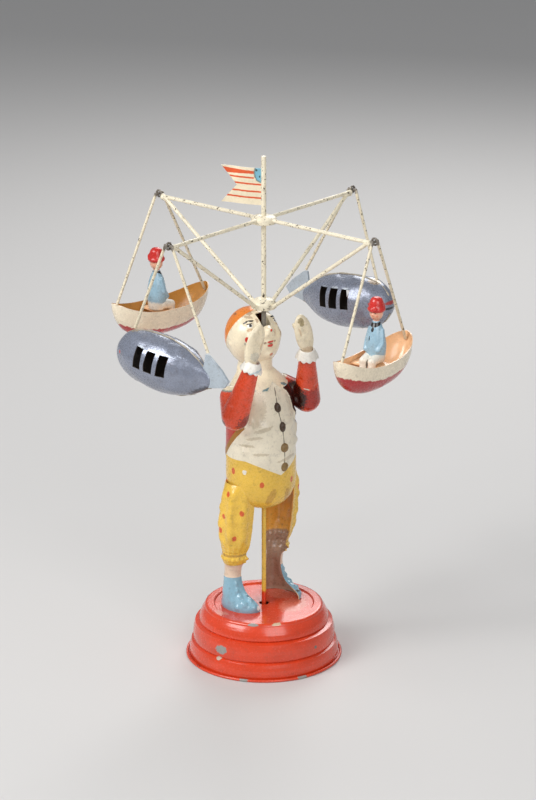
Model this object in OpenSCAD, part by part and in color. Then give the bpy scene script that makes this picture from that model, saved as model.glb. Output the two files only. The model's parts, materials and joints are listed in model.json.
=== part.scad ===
// Wind-up carousel toy. A tin clown on a clockwork base turns a wire carousel above the forehead.
// The figure faces -Y, the drive shaft is the Z axis and the toy stands on z = 0. Sizes are millimetres.

/* [Base] */
// Outside radius of the floor plate's rolled rim
rim_r = 52; // [50:0.5:60]
// Radius of the bead rolled along the rim
bead_r = 0.9; // [0.6:0.1:1.2]
// Flat ledge between the rolled bead and the bell
rim_ledge = 0.8; // [0.4:0.1:2]
// Height of the recessed top that the figure stands on
base_h = 35; // [34:0.2:42]
// Height of the raised ring round the recessed top
ring_h = 1; // [0.6:0.1:2]
// Inside radius of the raised ring
ring_in_r = 32.5; // [31:0.5:35]
// Height of the groove between the lower and middle bands
lower_groove_z = 11.5; // [9:0.5:14]
// Height of the groove between the middle and upper bands
upper_groove_z = 24.6; // [22:0.2:28]
// Radius lost across the lower groove
lower_step = 1.3; // [1:0.1:2]
// Radius lost across the upper groove
upper_step = 2.6; // [1.5:0.1:3.5]
// Radius that each band loses towards its top
band_taper = 1.2; // [0.6:0.1:2]
// Outward swell of each band
band_swell = 0.7; // [0.2:0.1:1.2]
// Depth of the grooves
groove_d = 0.8; // [0.4:0.1:1.2]
// Height of the grooves
groove_w = 1.8; // [1.2:0.2:3]
// Rounding of the bell's shoulder
shoulder_round = 2; // [1.2:0.2:3]
// Radius of the hole that the shaft leaves the base by
top_hole_r = 3.2; // [2.4:0.2:5]

/* [Sheet and fits] */
// Thickness of the pressed tin
sheet_t = 0.6; // [0.4:0.1:0.8]
// Thickness of the floor plate
floor_t = 0.6; // [0.5:0.1:1.2]
// Running clearance of shafts and arbors, on the radius
run_gap = 0.05; // [0.02:0.01:0.1]
// Clearance of fixed seats, on the radius
seat_gap = 0.02; // [0.01:0.01:0.05]
// Gap along soldered seams between the figure's pressings
seam_gap = 0.2; // [0.1:0.05:0.4]

/* [Clockwork] */
// Distance between the movement plates
plate_gap = 22; // [21:0.5:26]
// Thickness of the movement plates
plate_t = 1; // [0.8:0.1:1.4]
// Height of the movement plates
plate_h = 31; // [29:0.5:32]
// Depth of the feet folded out of the plates
plate_foot = 6; // [5:0.5:8]
// Module of the gear teeth
gear_module = 0.6; // [0.54:0.02:0.64]
// Teeth of the great wheel
great_teeth = 36; // [32:2:38]
// Teeth of the pinion that the great wheel drives
pinion_teeth = 9; // [8:1:10]
// Teeth of the crown wheel
crown_teeth = 30; // [26:2:32]
// Teeth of the pinion on the drive shaft
shaft_teeth = 10; // [10:4:14]
// Thickness of the wheels
wheel_t = 1.2; // [0.8:0.1:1.4]
// Height of the crown wheel's arbor above the floor
crown_z = 14; // [13:0.5:16]
// Height of the winding arbor above the floor
wind_z = 16; // [15:0.5:17]
// Radius of the winding arbor
wind_r = 1.8; // [1.5:0.1:2.2]
// Radius of the pinion arbor
pinion_arbor_r = 1.1; // [0.9:0.1:1.3]
// Radius of the arbors' front pivots
pivot_r = 0.8; // [0.6:0.1:0.8]
// Thickness of the mainspring's strip
spring_t = 0.4; // [0.3:0.05:0.5]
// Width of the mainspring's strip
spring_w = 9; // [6:0.5:9.5]
// Turns of the mainspring as it lies run down
spring_turns = 6; // [4:1:6]
// Length of the winding key beyond the bell
key_l = 22; // [16:1:30]
// Width across the winding key's wings
key_w = 24; // [18:1:28]

/* [Shaft] */
// Radius of the drive shaft
shaft_r = 1.5; // [1.2:0.1:1.7]
// Clear space round the shaft in the crotch
crotch_gap = 0.9; // [0.5:0.1:1.5]
// Radius of the spigot that carries the mast
spigot_r = 0.9; // [0.7:0.05:1]
// Length of the spigot
spigot_l = 16; // [12:1:20]

/* [Figure] */
// Height from the base's top to the crotch
leg_h = 69.5; // [64:0.5:76]
// Distance from the shaft to each leg's open side
leg_x = 16.5; // [15:0.5:18]
// Distance of the legs' middle behind the shaft
leg_y = 6; // [4:0.5:7]
// Turn of both feet towards the figure's left
leg_turn = 16; // [0:1:18]
// Length of a shoe
shoe_l = 30; // [27:1:32]
// Height of a shoe at the ankle
shoe_h = 10; // [8:0.5:12]
// Depth of the trouser leg, front to back, where it is fullest
trouser_w = 24.4; // [23:0.2:27]
// Bulge of the trouser leg from its open side
trouser_b = 13.9; // [12:0.1:15]
// Height of the torso from crotch to neck
torso_h = 99; // [92:1:106]
// Half width of the torso at the hips
torso_w = 24.5; // [23.5:0.5:27]
// Distance from the shaft to the belly
belly_d = 18; // [16:0.5:20]
// Distance from the shaft to the back
back_d = 24; // [22:0.5:26]
// Half width of the neck
neck_w = 9.5; // [8.5:0.25:10.5]
// Distance from the shaft to the back of the neck
neck_back = 21.5; // [20:0.5:23]
// Clear space between the shaft and the front of the neck
neck_clear = 1; // [0.6:0.1:1.4]
// Half width of the head
head_w = 17.5; // [16:0.5:19]
// Half depth of the head
head_d = 18.2; // [17:0.2:20]
// Half height of the head
head_h = 19.5; // [18.5:0.5:21]
// Backward tilt of the head
head_tilt = 28; // [20:1:34]
// Distance of the head's middle behind the shaft
head_back_y = 11.4; // [10:0.2:12.4]
// Height of the head's middle above the neck's top
head_up = 14.6; // [14:0.2:17]
// Width of the opening in the forehead
brow_hole_w = 7; // [5:0.5:9]
// Height of the shoulders above the crotch
shoulder_up = 77.5; // [74:0.5:82]
// Distance of the shoulders from the shaft
shoulder_x = 21; // [20:0.5:23]
// Distance of the shoulders behind the shaft
shoulder_y = 7.5; // [6:0.5:9]
// Distance of the elbows from the shaft
elbow_x = 29.5; // [28:0.5:33]
// Distance of the elbows in front of the shaft
elbow_y = 8; // [5:0.5:10]
// Drop from shoulder to elbow
elbow_drop = 7.5; // [5:0.5:10]
// Rise from elbow to wrist
wrist_rise = 32; // [28:0.5:36]
// Distance of the wrists from the middle plane
wrist_x = 23; // [21:0.5:27]
// Distance of the wrists in front of the shaft
wrist_y = 16; // [13:0.5:19]
// Radius of the sleeve at the elbow
elbow_r = 9; // [8:0.25:10]
// Radius of the sleeve at the wrist
wrist_r = 6.2; // [5.5:0.1:7]
// Length of a hand
hand_l = 25; // [21:0.5:27]
// Width of a hand
hand_w = 14.5; // [12:0.5:16]

/* [Carousel] */
// Gap between the top of the head and the lower hub
hub_gap = 2.6; // [2:0.2:6]
// Radius of both hubs
hub_r = 8.2; // [7:0.2:9]
// Height of the lower hub's dome
lower_hub_h = 6.6; // [5:0.2:8]
// Height of the upper hub
upper_hub_h = 5; // [4:0.2:6.5]
// Height of the arms above the lower hub
arm_rise = 59; // [54:1:64]
// Height of the mast above the arms
mast_over = 41; // [36:1:46]
// Radius of the mast
mast_r = 1.6; // [1.3:0.1:1.9]
// Radius of the arm and strut wires
arm_r = 1.25; // [1:0.05:1.4]
// Distance from the shaft to the eyes at the arms' ends
eye_r = 90; // [84:1:96]
// Height of the eyes above the arms' middle line
eye_lift = 1.4; // [0.8:0.1:1.6]
// Radius of the eyes, to the middle of their wire
eye_ring_r = 2.05; // [1.9:0.05:2.4]
// Radius of the eyes' wire
eye_wire_r = 0.7; // [0.5:0.05:0.8]
// Distance from the eye to where the strut meets the arm
strut_back = 4.5; // [4:0.5:7]
// Turn of the carousel as it stands, to its first arm
carousel_turn = 11.65; // [0:0.05:89]
// Length of the flag
flag_l = 27; // [20:1:32]
// Height of the flag
flag_h = 24; // [20:1:26]
// Depth of the flag's swallow tail
flag_notch = 10; // [6:0.5:12]
// Wave of the flag
flag_wave = 1.4; // [0:0.1:2]
// Turn of the flag from the first arm
flag_turn = 130.5; // [120:0.5:150]

/* [Boats] */
// Length of a boat
boat_l = 80; // [72:1:86]
// Half width of a boat
boat_w = 14.5; // [12:0.25:15]
// Depth of a boat amidships
boat_d = 19.5; // [17:0.5:22]
// Rise of the rail from amidships to the ends
boat_sheer = 8.5; // [6:0.5:11]
// Drop from the eyes to the rail amidships
boat_drop = 76; // [74:1:84]
// Turn of the boat behind the figure on its hanger
rear_boat_turn = -9; // [-10:1:10]
// Turn of the boat in front of the figure on its hanger
front_boat_turn = 6; // [-10:1:10]
// Width of a thwart along the boat
thwart_w = 12; // [10:1:15]
// Height of a sailor above the thwart
sailor_h = 43; // [38:1:45]
// Distance of a sailor behind the middle of the boat
sailor_aft = 3; // [0:0.5:4]
// Half width of a sailor at the jacket
sailor_r = 6.2; // [5:0.2:7]

/* [Airships] */
// Length of an airship from nose to tail root
ship_l = 76; // [70:1:82]
// Distance from the hanger's middle forward to the nose
ship_nose = 40; // [36:1:44]
// Half height of an airship
ship_h = 18.2; // [16:0.2:19.4]
// Half width of an airship
ship_w = 16.6; // [15:0.2:17.6]
// Drop from the eyes to the airship's middle line
ship_drop = 77; // [74:1:80]
// Upward pitch of the airships' noses
ship_pitch = 6; // [0:1:9]
// Distance that the airship behind the figure hangs ahead of its eye
rear_ship_shift = -6; // [-7:0.5:7]
// Distance that the airship in front of the figure hangs ahead of its eye
front_ship_shift = 1.5; // [-7:0.5:7]
// Width of a window
window_w = 6.4; // [5:0.2:7]
// Height of a window
window_h = 13; // [10:0.5:15]
// Distance between windows
window_pitch = 9.4; // [8.5:0.1:10]
// Distance of the middle window ahead of the hanger's middle
window_x = 3; // [0:0.5:6]
// Height of the tail fin above the airship's middle line
fin_up = 17; // [14:0.5:19]
// Reach of the tail fin behind its root
fin_back = 14; // [10:0.5:17]
// Thickness of each half of the tail fin
fin_t = 0.5; // [0.4:0.05:0.8]
// Height of a passenger
passenger_h = 25; // [20:1:28]

/* [Hangers] */
// Radius of the hanger wire
hanger_r = 0.95; // [0.7:0.05:1]
// Half width of the hanger's bar through the eye
hanger_bar = 2.8; // [2.6:0.1:3.5]

/* [Hidden] */

round_fn = 64;
wire_fn = 24;

// Paint colours
red_paint = [0.86, 0.3, 0.16];
coat_red = [0.76, 0.18, 0.1];
cream = [0.88, 0.84, 0.74];
trouser_yellow = [0.87, 0.69, 0.29];
skin = [0.9, 0.8, 0.68];
silver_lacquer = [0.58, 0.6, 0.66];
jacket_blue = [0.5, 0.65, 0.74];
brass = [0.78, 0.64, 0.33];
steel = [0.55, 0.56, 0.57];

// Base
lower_band_r = rim_r - 2 * bead_r - rim_ledge;
middle_band_r = lower_band_r - band_taper - lower_step;
upper_band_r = middle_band_r - band_taper - upper_step;
shoulder_r = upper_band_r - 3 * band_taper - shoulder_round;
bell_top = base_h + ring_h;

// A band of the bell between two radii and heights, swelling outwards
function band(r0, z0, r1, z1) =
    [for (t = [0:0.2:1]) [r0 + (r1 - r0) * t + band_swell * sin(180 * t), z0 + (z1 - z0) * t]];

bell_wall = concat(
    band(lower_band_r, floor_t, lower_band_r - band_taper, lower_groove_z - groove_w / 2),
    [[middle_band_r - groove_d, lower_groove_z]],
    band(middle_band_r, lower_groove_z + groove_w / 2,
         middle_band_r - band_taper, upper_groove_z - groove_w / 2),
    [[upper_band_r - groove_d, upper_groove_z]],
    band(upper_band_r, upper_groove_z + groove_w / 2,
         shoulder_r + shoulder_round, bell_top - shoulder_round));
// The wall's inner side is moved in and a little down, which keeps the sheet even in the grooves
inner_fall = 0.3;
bell_inner_wall = [for (p = bell_wall) [p[0] - sheet_t, max(p[1] - inner_fall * sheet_t, floor_t)]];

function shoulder_arc(r) =
    [for (a = [15:15:90]) [shoulder_r + r * cos(a), bell_top - shoulder_round + r * sin(a)]];
bell_top_edge = [[ring_in_r + ring_h, bell_top], [ring_in_r, base_h], [top_hole_r, base_h]];
bell_profile = concat(
    bell_wall, shoulder_arc(shoulder_round), bell_top_edge,
    [for (i = [2:-1:0]) bell_top_edge[i] - [0, sheet_t]],
    [for (i = [5:-1:0]) shoulder_arc(shoulder_round - sheet_t)[i]],
    [for (i = [len(bell_inner_wall) - 1:-1:0]) bell_inner_wall[i]]);

// Clockwork
great_r = gear_module * great_teeth / 2;
pinion_r = gear_module * pinion_teeth / 2;
crown_r = gear_module * crown_teeth / 2;
shaft_pinion_r = gear_module * shaft_teeth / 2;
tooth_up = 0.8 * gear_module;
tooth_down = 1.25 * gear_module;
tooth_share = 0.36;
crown_tooth_share = 0.24;
wind_x = sqrt(pow(great_r + pinion_r, 2) - pow(wind_z - crown_z, 2));
mesh_angle = atan2(wind_z - crown_z, wind_x);
plate_in = plate_gap / 2;
end_shake = 0.3;
pivot_over = 0.6;
crown_face_y = -(shaft_pinion_r + tooth_down);
crown_tip_y = -(shaft_pinion_r - tooth_up);
crown_back_y = crown_face_y - wheel_t;
wheel_space = 0.8;
great_y = crown_back_y - 2 * wheel_space;
pinion_back_y = crown_back_y - wheel_space;
pinion_face = wheel_t + 2 * wheel_space;
ratchet_y = great_y - wheel_t - end_shake;
ratchet_r = 4.2;
ratchet_teeth = 12;
ratchet_depth = 0.8;
click_clear = 0.45;
click_post = 8.2;
click_angle = -40;
click_nose = 24;
click_w = 1;
rivet_r = 0.8;
rivet_head_r = 1.4;
rivet_head_h = 0.5;
pillar_r = 1.5;
pillar_pin_r = 1;
pillar_space = 1.2;
pillar_left_x = -(crown_r + tooth_up + pillar_r + pillar_space);
pillar_right_x = wind_x + great_r + tooth_up + pillar_r + pillar_space;
pillar_low_z = 5.5;
pillar_high_z = plate_h - 3.5;
plate_margin = 3.2;
plate_left_x = pillar_left_x - plate_margin;
plate_right_x = pillar_right_x + plate_margin;
footstep_w = 4.4;
spring_hub_r = wind_r + 0.6;
spring_out_r = wind_x - footstep_w / 2 - 0.7;
spring_front_y = 0;
footstep_t = 1.2;
footstep_z = crown_z + pinion_arbor_r + 1.6;
footstep_front_y = crown_tip_y + 0.9;
shaft_pivot_r = 0.9;
shaft_pinion_h = 4;
shaft_pinion_z = crown_z + crown_r - shaft_pinion_h / 2;
key_hole_r = wind_r + 1.2;
key_y = sqrt(pow(middle_band_r, 2) - pow(wind_x, 2)) + 2;
key_shank_r = wind_r + 1.2;
key_shank_l = 9;
key_t = 1.6;

// Figure heights
crotch_z = base_h + leg_h;
neck_z = crotch_z + torso_h;
head_z = neck_z + head_up;
head_top = head_z + head_h;
hub_z = head_top + hub_gap;
arm_z = hub_z + arm_rise;
eye_z = arm_z + eye_lift;
mast_top = arm_z + mast_over;

// Surfaces made of rings. A row holds the ring's height, the middle of the ring (x, y), its half width,
// its reach towards +y and -y and the squareness of its corners (2 is an ellipse).
function signed_power(v, p) = sign(v) * pow(abs(v), p);
function swell(a, z, bumps) = 1 + (len(bumps) == 0 ? 0 : [for (b = bumps)
    b[2] * exp(-pow((a - b[0]) / b[3], 2) - pow((z - b[1]) / b[4], 2))] * [for (b = bumps) 1]);
function ring(row, a0, a1, m, bumps = []) =
    [for (j = [0:m])
        let (a = a0 + (a1 - a0) * j / m,
             x = row[3] * signed_power(cos(a), 2 / row[6]),
             y = (sin(a) >= 0 ? row[4] : row[5]) * signed_power(sin(a), 2 / row[6]),
             k = swell(a, row[0], bumps))
        [row[1] + k * x, row[2] + k * y, row[0]]];
// The rows of the surface that lies the sheet's thickness inside another
function inside(rows, t) =
    [for (i = [0:len(rows) - 1])
        let (p = rows[max(i - 1, 0)],
             q = rows[min(i + 1, len(rows) - 1)],
             rise = q[0] - p[0],
             grow = (q[3] - p[3] + q[5] - p[5]) / 2,
             run = norm([rise, grow]),
             r = rows[i],
             in = t * rise / run)
        [r[0] + t * grow / run, r[1], r[2], max(r[3] - in, 0.05), max(r[4] - in, 0.05),
         max(r[5] - in, 0.05), r[6]]];
function grown(rows, g) = [for (r = rows) [r[0], r[1], r[2], r[3] + g, r[4] + g, r[5] + g, r[6]]];

// A sheet between an outer and an inner surface, open along its first and last angle
module half_shell(rows, t, a0, a1, m, bumps = []) {
    inner = inside(rows, t);
    n = len(rows);
    w = m + 1;
    outer_points = [for (r = rows) each ring(r, a0, a1, m, bumps)];
    inner_points = [for (r = inner) each ring(r, a0, a1, m, bumps)];
    size = n * w;
    faces = concat(
        [for (i = [0:n - 2], j = [0:m - 1]) each let (a = i * w + j, b = a + w)
            [[a, b, b + 1], [a, b + 1, a + 1],
             [size + a, size + b + 1, size + b], [size + a, size + a + 1, size + b + 1]]],
        [for (j = [0:m - 1]) each let (a = j, b = (n - 1) * w + j)
            [[a, a + 1, size + a + 1], [a, size + a + 1, size + a],
             [b, size + b + 1, b + 1], [b, size + b, size + b + 1]]],
        [for (i = [0:n - 2]) each let (a = i * w, b = i * w + m)
            [[a, size + a, size + a + w], [a, size + a + w, a + w],
             [b, b + w, size + b + w], [b, size + b + w, size + b]]]);
    polyhedron(concat(outer_points, inner_points), faces, convexity = 8);
}

// A closed solid through whole rings
module loft(rows, m) {
    n = len(rows);
    points = [for (r = rows) each [for (p = ring(r, 0, 360 - 360 / m, m - 1)) p]];
    faces = concat(
        [for (i = [0:n - 2], j = [0:m - 1]) each
            let (a = i * m + j, b = i * m + (j + 1) % m)
            [[a, a + m, b + m], [a, b + m, b]]],
        [[for (j = [0:m - 1]) j], [for (j = [m - 1:-1:0]) (n - 1) * m + j]]);
    polyhedron(points, faces, convexity = 6);
}

// A straight round bar between two points
module rod(p, q, r1, r2 = undef, fn = wire_fn) {
    v = q - p;
    translate(p)
        rotate([0, acos(v[2] / norm(v)), atan2(v[1], v[0])])
            cylinder(h = norm(v), r1 = r1, r2 = is_undef(r2) ? r1 : r2, $fn = fn);
}

module ball(p, r, fn = wire_fn) {
    translate(p) sphere(r = r, $fn = fn);
}

// A flat shape drawn in the XZ plane, as thick as t, with its back face at y
module upright(y, t) {
    translate([0, y, 0]) rotate([90, 0, 0]) linear_extrude(height = t) children();
}

// A round bar along +Y from y0 to y1
module arbor(x, z, y0, y1, r, fn = 32) {
    translate([x, y0, z]) rotate([-90, 0, 0]) cylinder(h = y1 - y0, r = r, $fn = fn);
}

// Gear outline with one tooth at the given angle
function tooth_points(r, a, half) = [r * cos(a + half), r * sin(a + half)];
module gear_outline(teeth, turn) {
    r = gear_module * teeth / 2;
    half = 180 / teeth * tooth_share;
    polygon([for (k = [0:teeth - 1]) each let (a = turn + 360 * k / teeth) [
        tooth_points(r - tooth_down, a, -1.5 * half),
        tooth_points(r + tooth_up, a, -0.6 * half),
        tooth_points(r + tooth_up, a, 0.6 * half),
        tooth_points(r - tooth_down, a, 1.5 * half)]]);
}

module base_bell() {
    color(red_paint) difference() {
        rotate_extrude($fn = 128) polygon(bell_profile);
        for (side = [-1, 1]) place_leg(side) foot_tab(tab_gap);
        arbor(wind_x, wind_z, plate_in + plate_foot, rim_r, key_hole_r);
    }
}

module floor_plate() {
    color(red_paint) difference() {
        rotate_extrude($fn = 128) union() {
            square([rim_r - bead_r, floor_t]);
            translate([rim_r - bead_r, bead_r]) circle(r = bead_r, $fn = 32);
        }
        at_plate_rivets() translate([0, 0, -1]) cylinder(r = rivet_r + seat_gap, h = floor_t + 2, $fn = 24);
    }
}

// Places of the rivets through the plates' feet, in front of and behind the movement
module at_plate_rivets() {
    for (x = [plate_left_x + plate_margin, plate_right_x - plate_margin], side = [-1, 1])
        translate([x, side * (plate_in + plate_t + plate_foot / 2), 0]) children();
}

module plate_rivets() {
    color(steel) at_plate_rivets() {
        cylinder(r = rivet_r, h = floor_t + plate_t, $fn = 24);
        translate([0, 0, floor_t + plate_t]) cylinder(r = rivet_head_r, h = rivet_head_h, $fn = 24);
    }
}

module at_pillars() {
    for (x = [pillar_left_x, pillar_right_x], z = [pillar_low_z, pillar_high_z])
        translate([x, 0, z]) children();
}

// A movement plate with its folded foot and its holes; side is -1 in front and 1 behind
module movement_plate(side, wind_hole) {
    y0 = side > 0 ? plate_in : -plate_in - plate_t;
    foot_y = side > 0 ? plate_in : -plate_in - plate_t - plate_foot;
    difference() {
        union() {
            translate([plate_left_x, y0, floor_t]) cube([plate_right_x - plate_left_x, plate_t, plate_h]);
            translate([plate_left_x, foot_y, floor_t])
                cube([plate_right_x - plate_left_x, plate_foot + plate_t, plate_t]);
        }
        arbor(wind_x, wind_z, y0 - 1, y0 + plate_t + 1, wind_hole);
        arbor(0, crown_z, y0 - 1, y0 + plate_t + 1, pivot_r + run_gap);
        at_pillars() arbor(0, 0, y0 - 1, y0 + plate_t + 1, pillar_pin_r + seat_gap);
        at_plate_rivets() cylinder(r = rivet_r + seat_gap, h = floor_t + plate_t + 1, $fn = 24);
    }
}

module front_plate() { color(brass) movement_plate(-1, pivot_r + run_gap); }

module rear_plate() { color(brass) movement_plate(1, wind_r + run_gap); }

module pillars() {
    color(steel) at_pillars() {
        arbor(0, 0, -plate_in, plate_in, pillar_r);
        arbor(0, 0, -plate_in - plate_t, plate_in + plate_t, pillar_pin_r);
    }
}

module winding_arbor() {
    color(steel) {
        arbor(wind_x, wind_z, -plate_in - plate_t - pivot_over, -plate_in + end_shake, pivot_r);
        arbor(wind_x, wind_z, -plate_in + end_shake, key_y + key_shank_l, wind_r);
    }
}

// Butterfly key: a shank and two round wings, lying flat as the toy stands
module winding_key() {
    wing_r = key_w / 4;
    wing_y = key_y + key_l - wing_r;
    color(steel) difference() {
        union() {
            arbor(wind_x, wind_z, key_y, key_y + key_shank_l, key_shank_r);
            translate([wind_x, 0, wind_z - key_t / 2]) linear_extrude(height = key_t) {
                for (side = [-1, 1]) translate([side * wing_r, wing_y]) circle(r = wing_r, $fn = round_fn);
                translate([-key_shank_r, key_y + key_shank_l - 3])
                    square([2 * key_shank_r, wing_y - key_y - key_shank_l + 3]);
            }
        }
        arbor(wind_x, wind_z, key_y - 1, key_y + key_shank_l + seat_gap, wind_r + seat_gap);
        for (side = [-1, 1])
            translate([wind_x + side * wing_r, wing_y, wind_z - key_t])
                cylinder(r = wing_r * 0.4, h = 2 * key_t, $fn = 32);
    }
}

// The mainspring lies run down. Its last stretch opens out to the pillar that holds its end.
spring_steps = 28;
spring_end_angle = atan2(pillar_high_z - wind_z, pillar_right_x - wind_x);
spring_post_r = norm([pillar_high_z - wind_z, pillar_right_x - wind_x]) - pillar_r - spring_t - seat_gap;
function spring_r(i, n) =
    let (t = i / n, open = max(0, (t * spring_turns - spring_turns + 0.2) / 0.2))
    spring_hub_r + (spring_out_r - spring_t - spring_hub_r) * t
        + (spring_post_r - spring_out_r + spring_t) * open * open;
module mainspring() {
    n = spring_turns * spring_steps;
    function point(i, add) =
        let (a = spring_end_angle - 360 * spring_turns * (1 - i / n), r = spring_r(i, n) + add)
        [wind_x + r * cos(a), wind_z + r * sin(a)];
    color(steel) upright(spring_front_y + spring_w, spring_w)
        polygon(concat([for (i = [0:n]) point(i, 0)], [for (i = [n:-1:0]) point(i, spring_t)]));
}

module great_wheel() {
    color(brass) difference() {
        upright(great_y, wheel_t) difference() {
            translate([wind_x, wind_z]) gear_outline(great_teeth, mesh_angle + 180 + 180 / great_teeth);
            translate([wind_x, wind_z]) circle(r = wind_r + run_gap, $fn = 32);
            for (a = [60:60:300])
                translate([wind_x, wind_z] + 0.62 * great_r * [cos(click_angle + a), sin(click_angle + a)])
                    circle(r = 0.18 * great_r, $fn = 24);
            translate(click_post_at()) circle(r = rivet_r + seat_gap, $fn = 24);
        }
    }
}

module ratchet_wheel() {
    step = 360 / ratchet_teeth;
    color(steel) upright(ratchet_y, wheel_t) translate([wind_x, wind_z]) difference() {
        polygon([for (k = [0:ratchet_teeth - 1]) each [
            ratchet_r * [cos(k * step), sin(k * step)],
            (ratchet_r - ratchet_depth) * [cos(k * step + 3), sin(k * step + 3)]]]);
        circle(r = wind_r + seat_gap, $fn = 32);
    }
}

function click_post_at() = [wind_x, wind_z] + click_post * [cos(click_angle), sin(click_angle)];

// Leaf that clicks over the ratchet wheel, drawn lifted onto the teeth's tips
module click() {
    nose = [wind_x, wind_z] + (ratchet_r + click_clear + click_w / 2) * [cos(click_nose), sin(click_nose)];
    post = click_post_at();
    along = (nose - post) / norm(nose - post);
    side = click_w / 2 * [-along[1], along[0]];
    color(steel) upright(ratchet_y, wheel_t) difference() {
        union() {
            translate(post) circle(r = rivet_head_r, $fn = 24);
            polygon([post - side, nose - side, nose + side, post + side]);
        }
        translate(post) circle(r = rivet_r + seat_gap, $fn = 24);
    }
}

module click_rivet() {
    post = click_post_at();
    color(brass) {
        arbor(post[0], post[1], ratchet_y - wheel_t, great_y, rivet_r, 24);
        arbor(post[0], post[1], ratchet_y - wheel_t - rivet_head_h, ratchet_y - wheel_t, rivet_head_r, 24);
        arbor(post[0], post[1], great_y, great_y + rivet_head_h, rivet_head_r, 24);
    }
}

module pinion_arbor() {
    color(steel) {
        arbor(0, crown_z, -plate_in - plate_t - pivot_over, plate_in + plate_t + pivot_over, pivot_r);
        arbor(0, crown_z, -plate_in + end_shake, plate_in - end_shake, pinion_arbor_r);
        upright(pinion_back_y, pinion_face) translate([0, crown_z]) gear_outline(pinion_teeth, mesh_angle);
    }
}

// Crown wheel: a disc whose teeth stand out of its face and turn the upright shaft
module crown_wheel() {
    half = 180 / crown_teeth * crown_tooth_share;
    in_r = crown_r - 1.2;
    out_r = crown_r + tooth_up;
    color(brass) difference() {
        union() {
            arbor(0, crown_z, crown_back_y, crown_face_y, out_r, round_fn);
            upright(crown_tip_y, crown_tip_y - crown_face_y + 0.2) translate([0, crown_z])
                for (k = [0:crown_teeth - 1]) rotate(90 + 360 * k / crown_teeth)
                    polygon([tooth_points(in_r, 0, -half), tooth_points(out_r - 0.1, 0, -half),
                             tooth_points(out_r - 0.1, 0, half), tooth_points(in_r, 0, half)]);
        }
        arbor(0, crown_z, crown_back_y - 1, crown_tip_y + 1, pinion_arbor_r + seat_gap);
    }
}

module shaft_pinion() {
    color(brass) translate([0, 0, shaft_pinion_z]) linear_extrude(height = shaft_pinion_h) difference() {
        gear_outline(shaft_teeth, -90 + 180 / shaft_teeth);
        circle(r = shaft_r + seat_gap, $fn = 32);
    }
}

// Bracket on the rear plate that the foot of the shaft turns in
module footstep_bearing() {
    color(brass) difference() {
        union() {
            translate([-footstep_w / 2, footstep_front_y, footstep_z])
                cube([footstep_w, plate_in - footstep_front_y, footstep_t]);
            translate([-footstep_w / 2, plate_in - footstep_t, footstep_z])
                cube([footstep_w, footstep_t, 2 * footstep_w]);
        }
        translate([0, 0, footstep_z - 1]) cylinder(r = shaft_pivot_r + run_gap, h = footstep_t + 2, $fn = 32);
    }
}

module drive_shaft() {
    shoulder_z = footstep_z + footstep_t + run_gap;
    color(trouser_yellow) {
        translate([0, 0, footstep_z]) cylinder(r = shaft_pivot_r, h = shoulder_z - footstep_z + 1, $fn = 32);
        translate([0, 0, shoulder_z]) cylinder(r = shaft_r, h = hub_z - shoulder_z, $fn = 32);
        translate([0, 0, hub_z]) cylinder(r = spigot_r, h = spigot_l, $fn = 32);
    }
}

// Torso, from the hole in the crotch to the neck. A row gives shares of the height, of the half width
// and of the distances from the shaft to the front and to the back.
neck_l = 6;
neck_front = shaft_r + neck_clear + sheet_t;
torso_rise = torso_h - neck_l;
torso_square = 2.1;
function oval_row(z, wide, front, back, square = 2) =
    [z, 0, (back - front) / 2, wide, (back + front) / 2, (back + front) / 2, square];
function torso_row(up, wide, front, back) =
    oval_row(crotch_z + up * torso_rise, wide * torso_w, front * belly_d, back * back_d, torso_square);
function neck_row(up, add) = oval_row(neck_z - neck_l + up, neck_w + add, neck_front + add, neck_back + add);
crotch_r = shaft_r + crotch_gap;
torso_rows = concat(
    [oval_row(crotch_z, crotch_r, crotch_r, crotch_r)],
    [torso_row(0.005, 0.3, 0.38, 0.22),
     torso_row(0.03, 0.6, 0.66, 0.52),
     torso_row(0.075, 0.84, 0.85, 0.78),
     torso_row(0.14, 0.97, 0.95, 0.94),
     torso_row(0.24, 1, 1, 1),
     torso_row(0.34, 0.985, 1.02, 1),
     torso_row(0.47, 0.97, 1, 1),
     torso_row(0.62, 0.95, 0.92, 1),
     torso_row(0.76, 0.93, 0.82, 0.98),
     torso_row(0.86, 0.87, 0.68, 0.93),
     torso_row(0.93, 0.7, 0.5, 0.86),
     torso_row(0.97, 0.52, 0.36, 0.82)],
    [neck_row(0, 1), neck_row(1.2, 0), neck_row(neck_l, 0)]);

half_steps = 16;
neck_steps = 60;

module torso_front() { color(cream) half_shell(torso_rows, sheet_t, 180, 360, half_steps); }

module torso_back() { color(coat_red) half_shell(torso_rows, sheet_t, 0, 180, half_steps); }

// The body's outside, grown by the seam's gap, which arms and legs are cut back to
module torso_outside() { loft(grown(torso_rows, seam_gap), 2 * half_steps); }

// The neck's outline, grown by a distance, which is negative inside the sheet
module neck_outline(add) {
    last = neck_steps - 1;
    polygon([for (p = ring(neck_row(0, add), 0, 360 * last / neck_steps, last)) [p[0], p[1]]]);
}

// Plate across the neck that the shaft turns in
bearing_t = 2.4;
module neck_bearing() {
    color(steel) translate([0, 0, neck_z - neck_l + 2]) linear_extrude(height = bearing_t) difference() {
        neck_outline(-sheet_t - seam_gap);
        circle(r = shaft_r + run_gap, $fn = 32);
    }
}

// Head, drawn upright with the face towards -y, then tilted back
head_steps = [-88, -78, -66, -54, -43, -33, -23, -13, -4, 5, 15, 26, 38, 52, 68, 84];
head_rows = [for (a = head_steps)
    [head_h * sin(a), 0, 0, head_w * cos(a), head_d * cos(a), head_d * cos(a), 2.1]];
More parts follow.
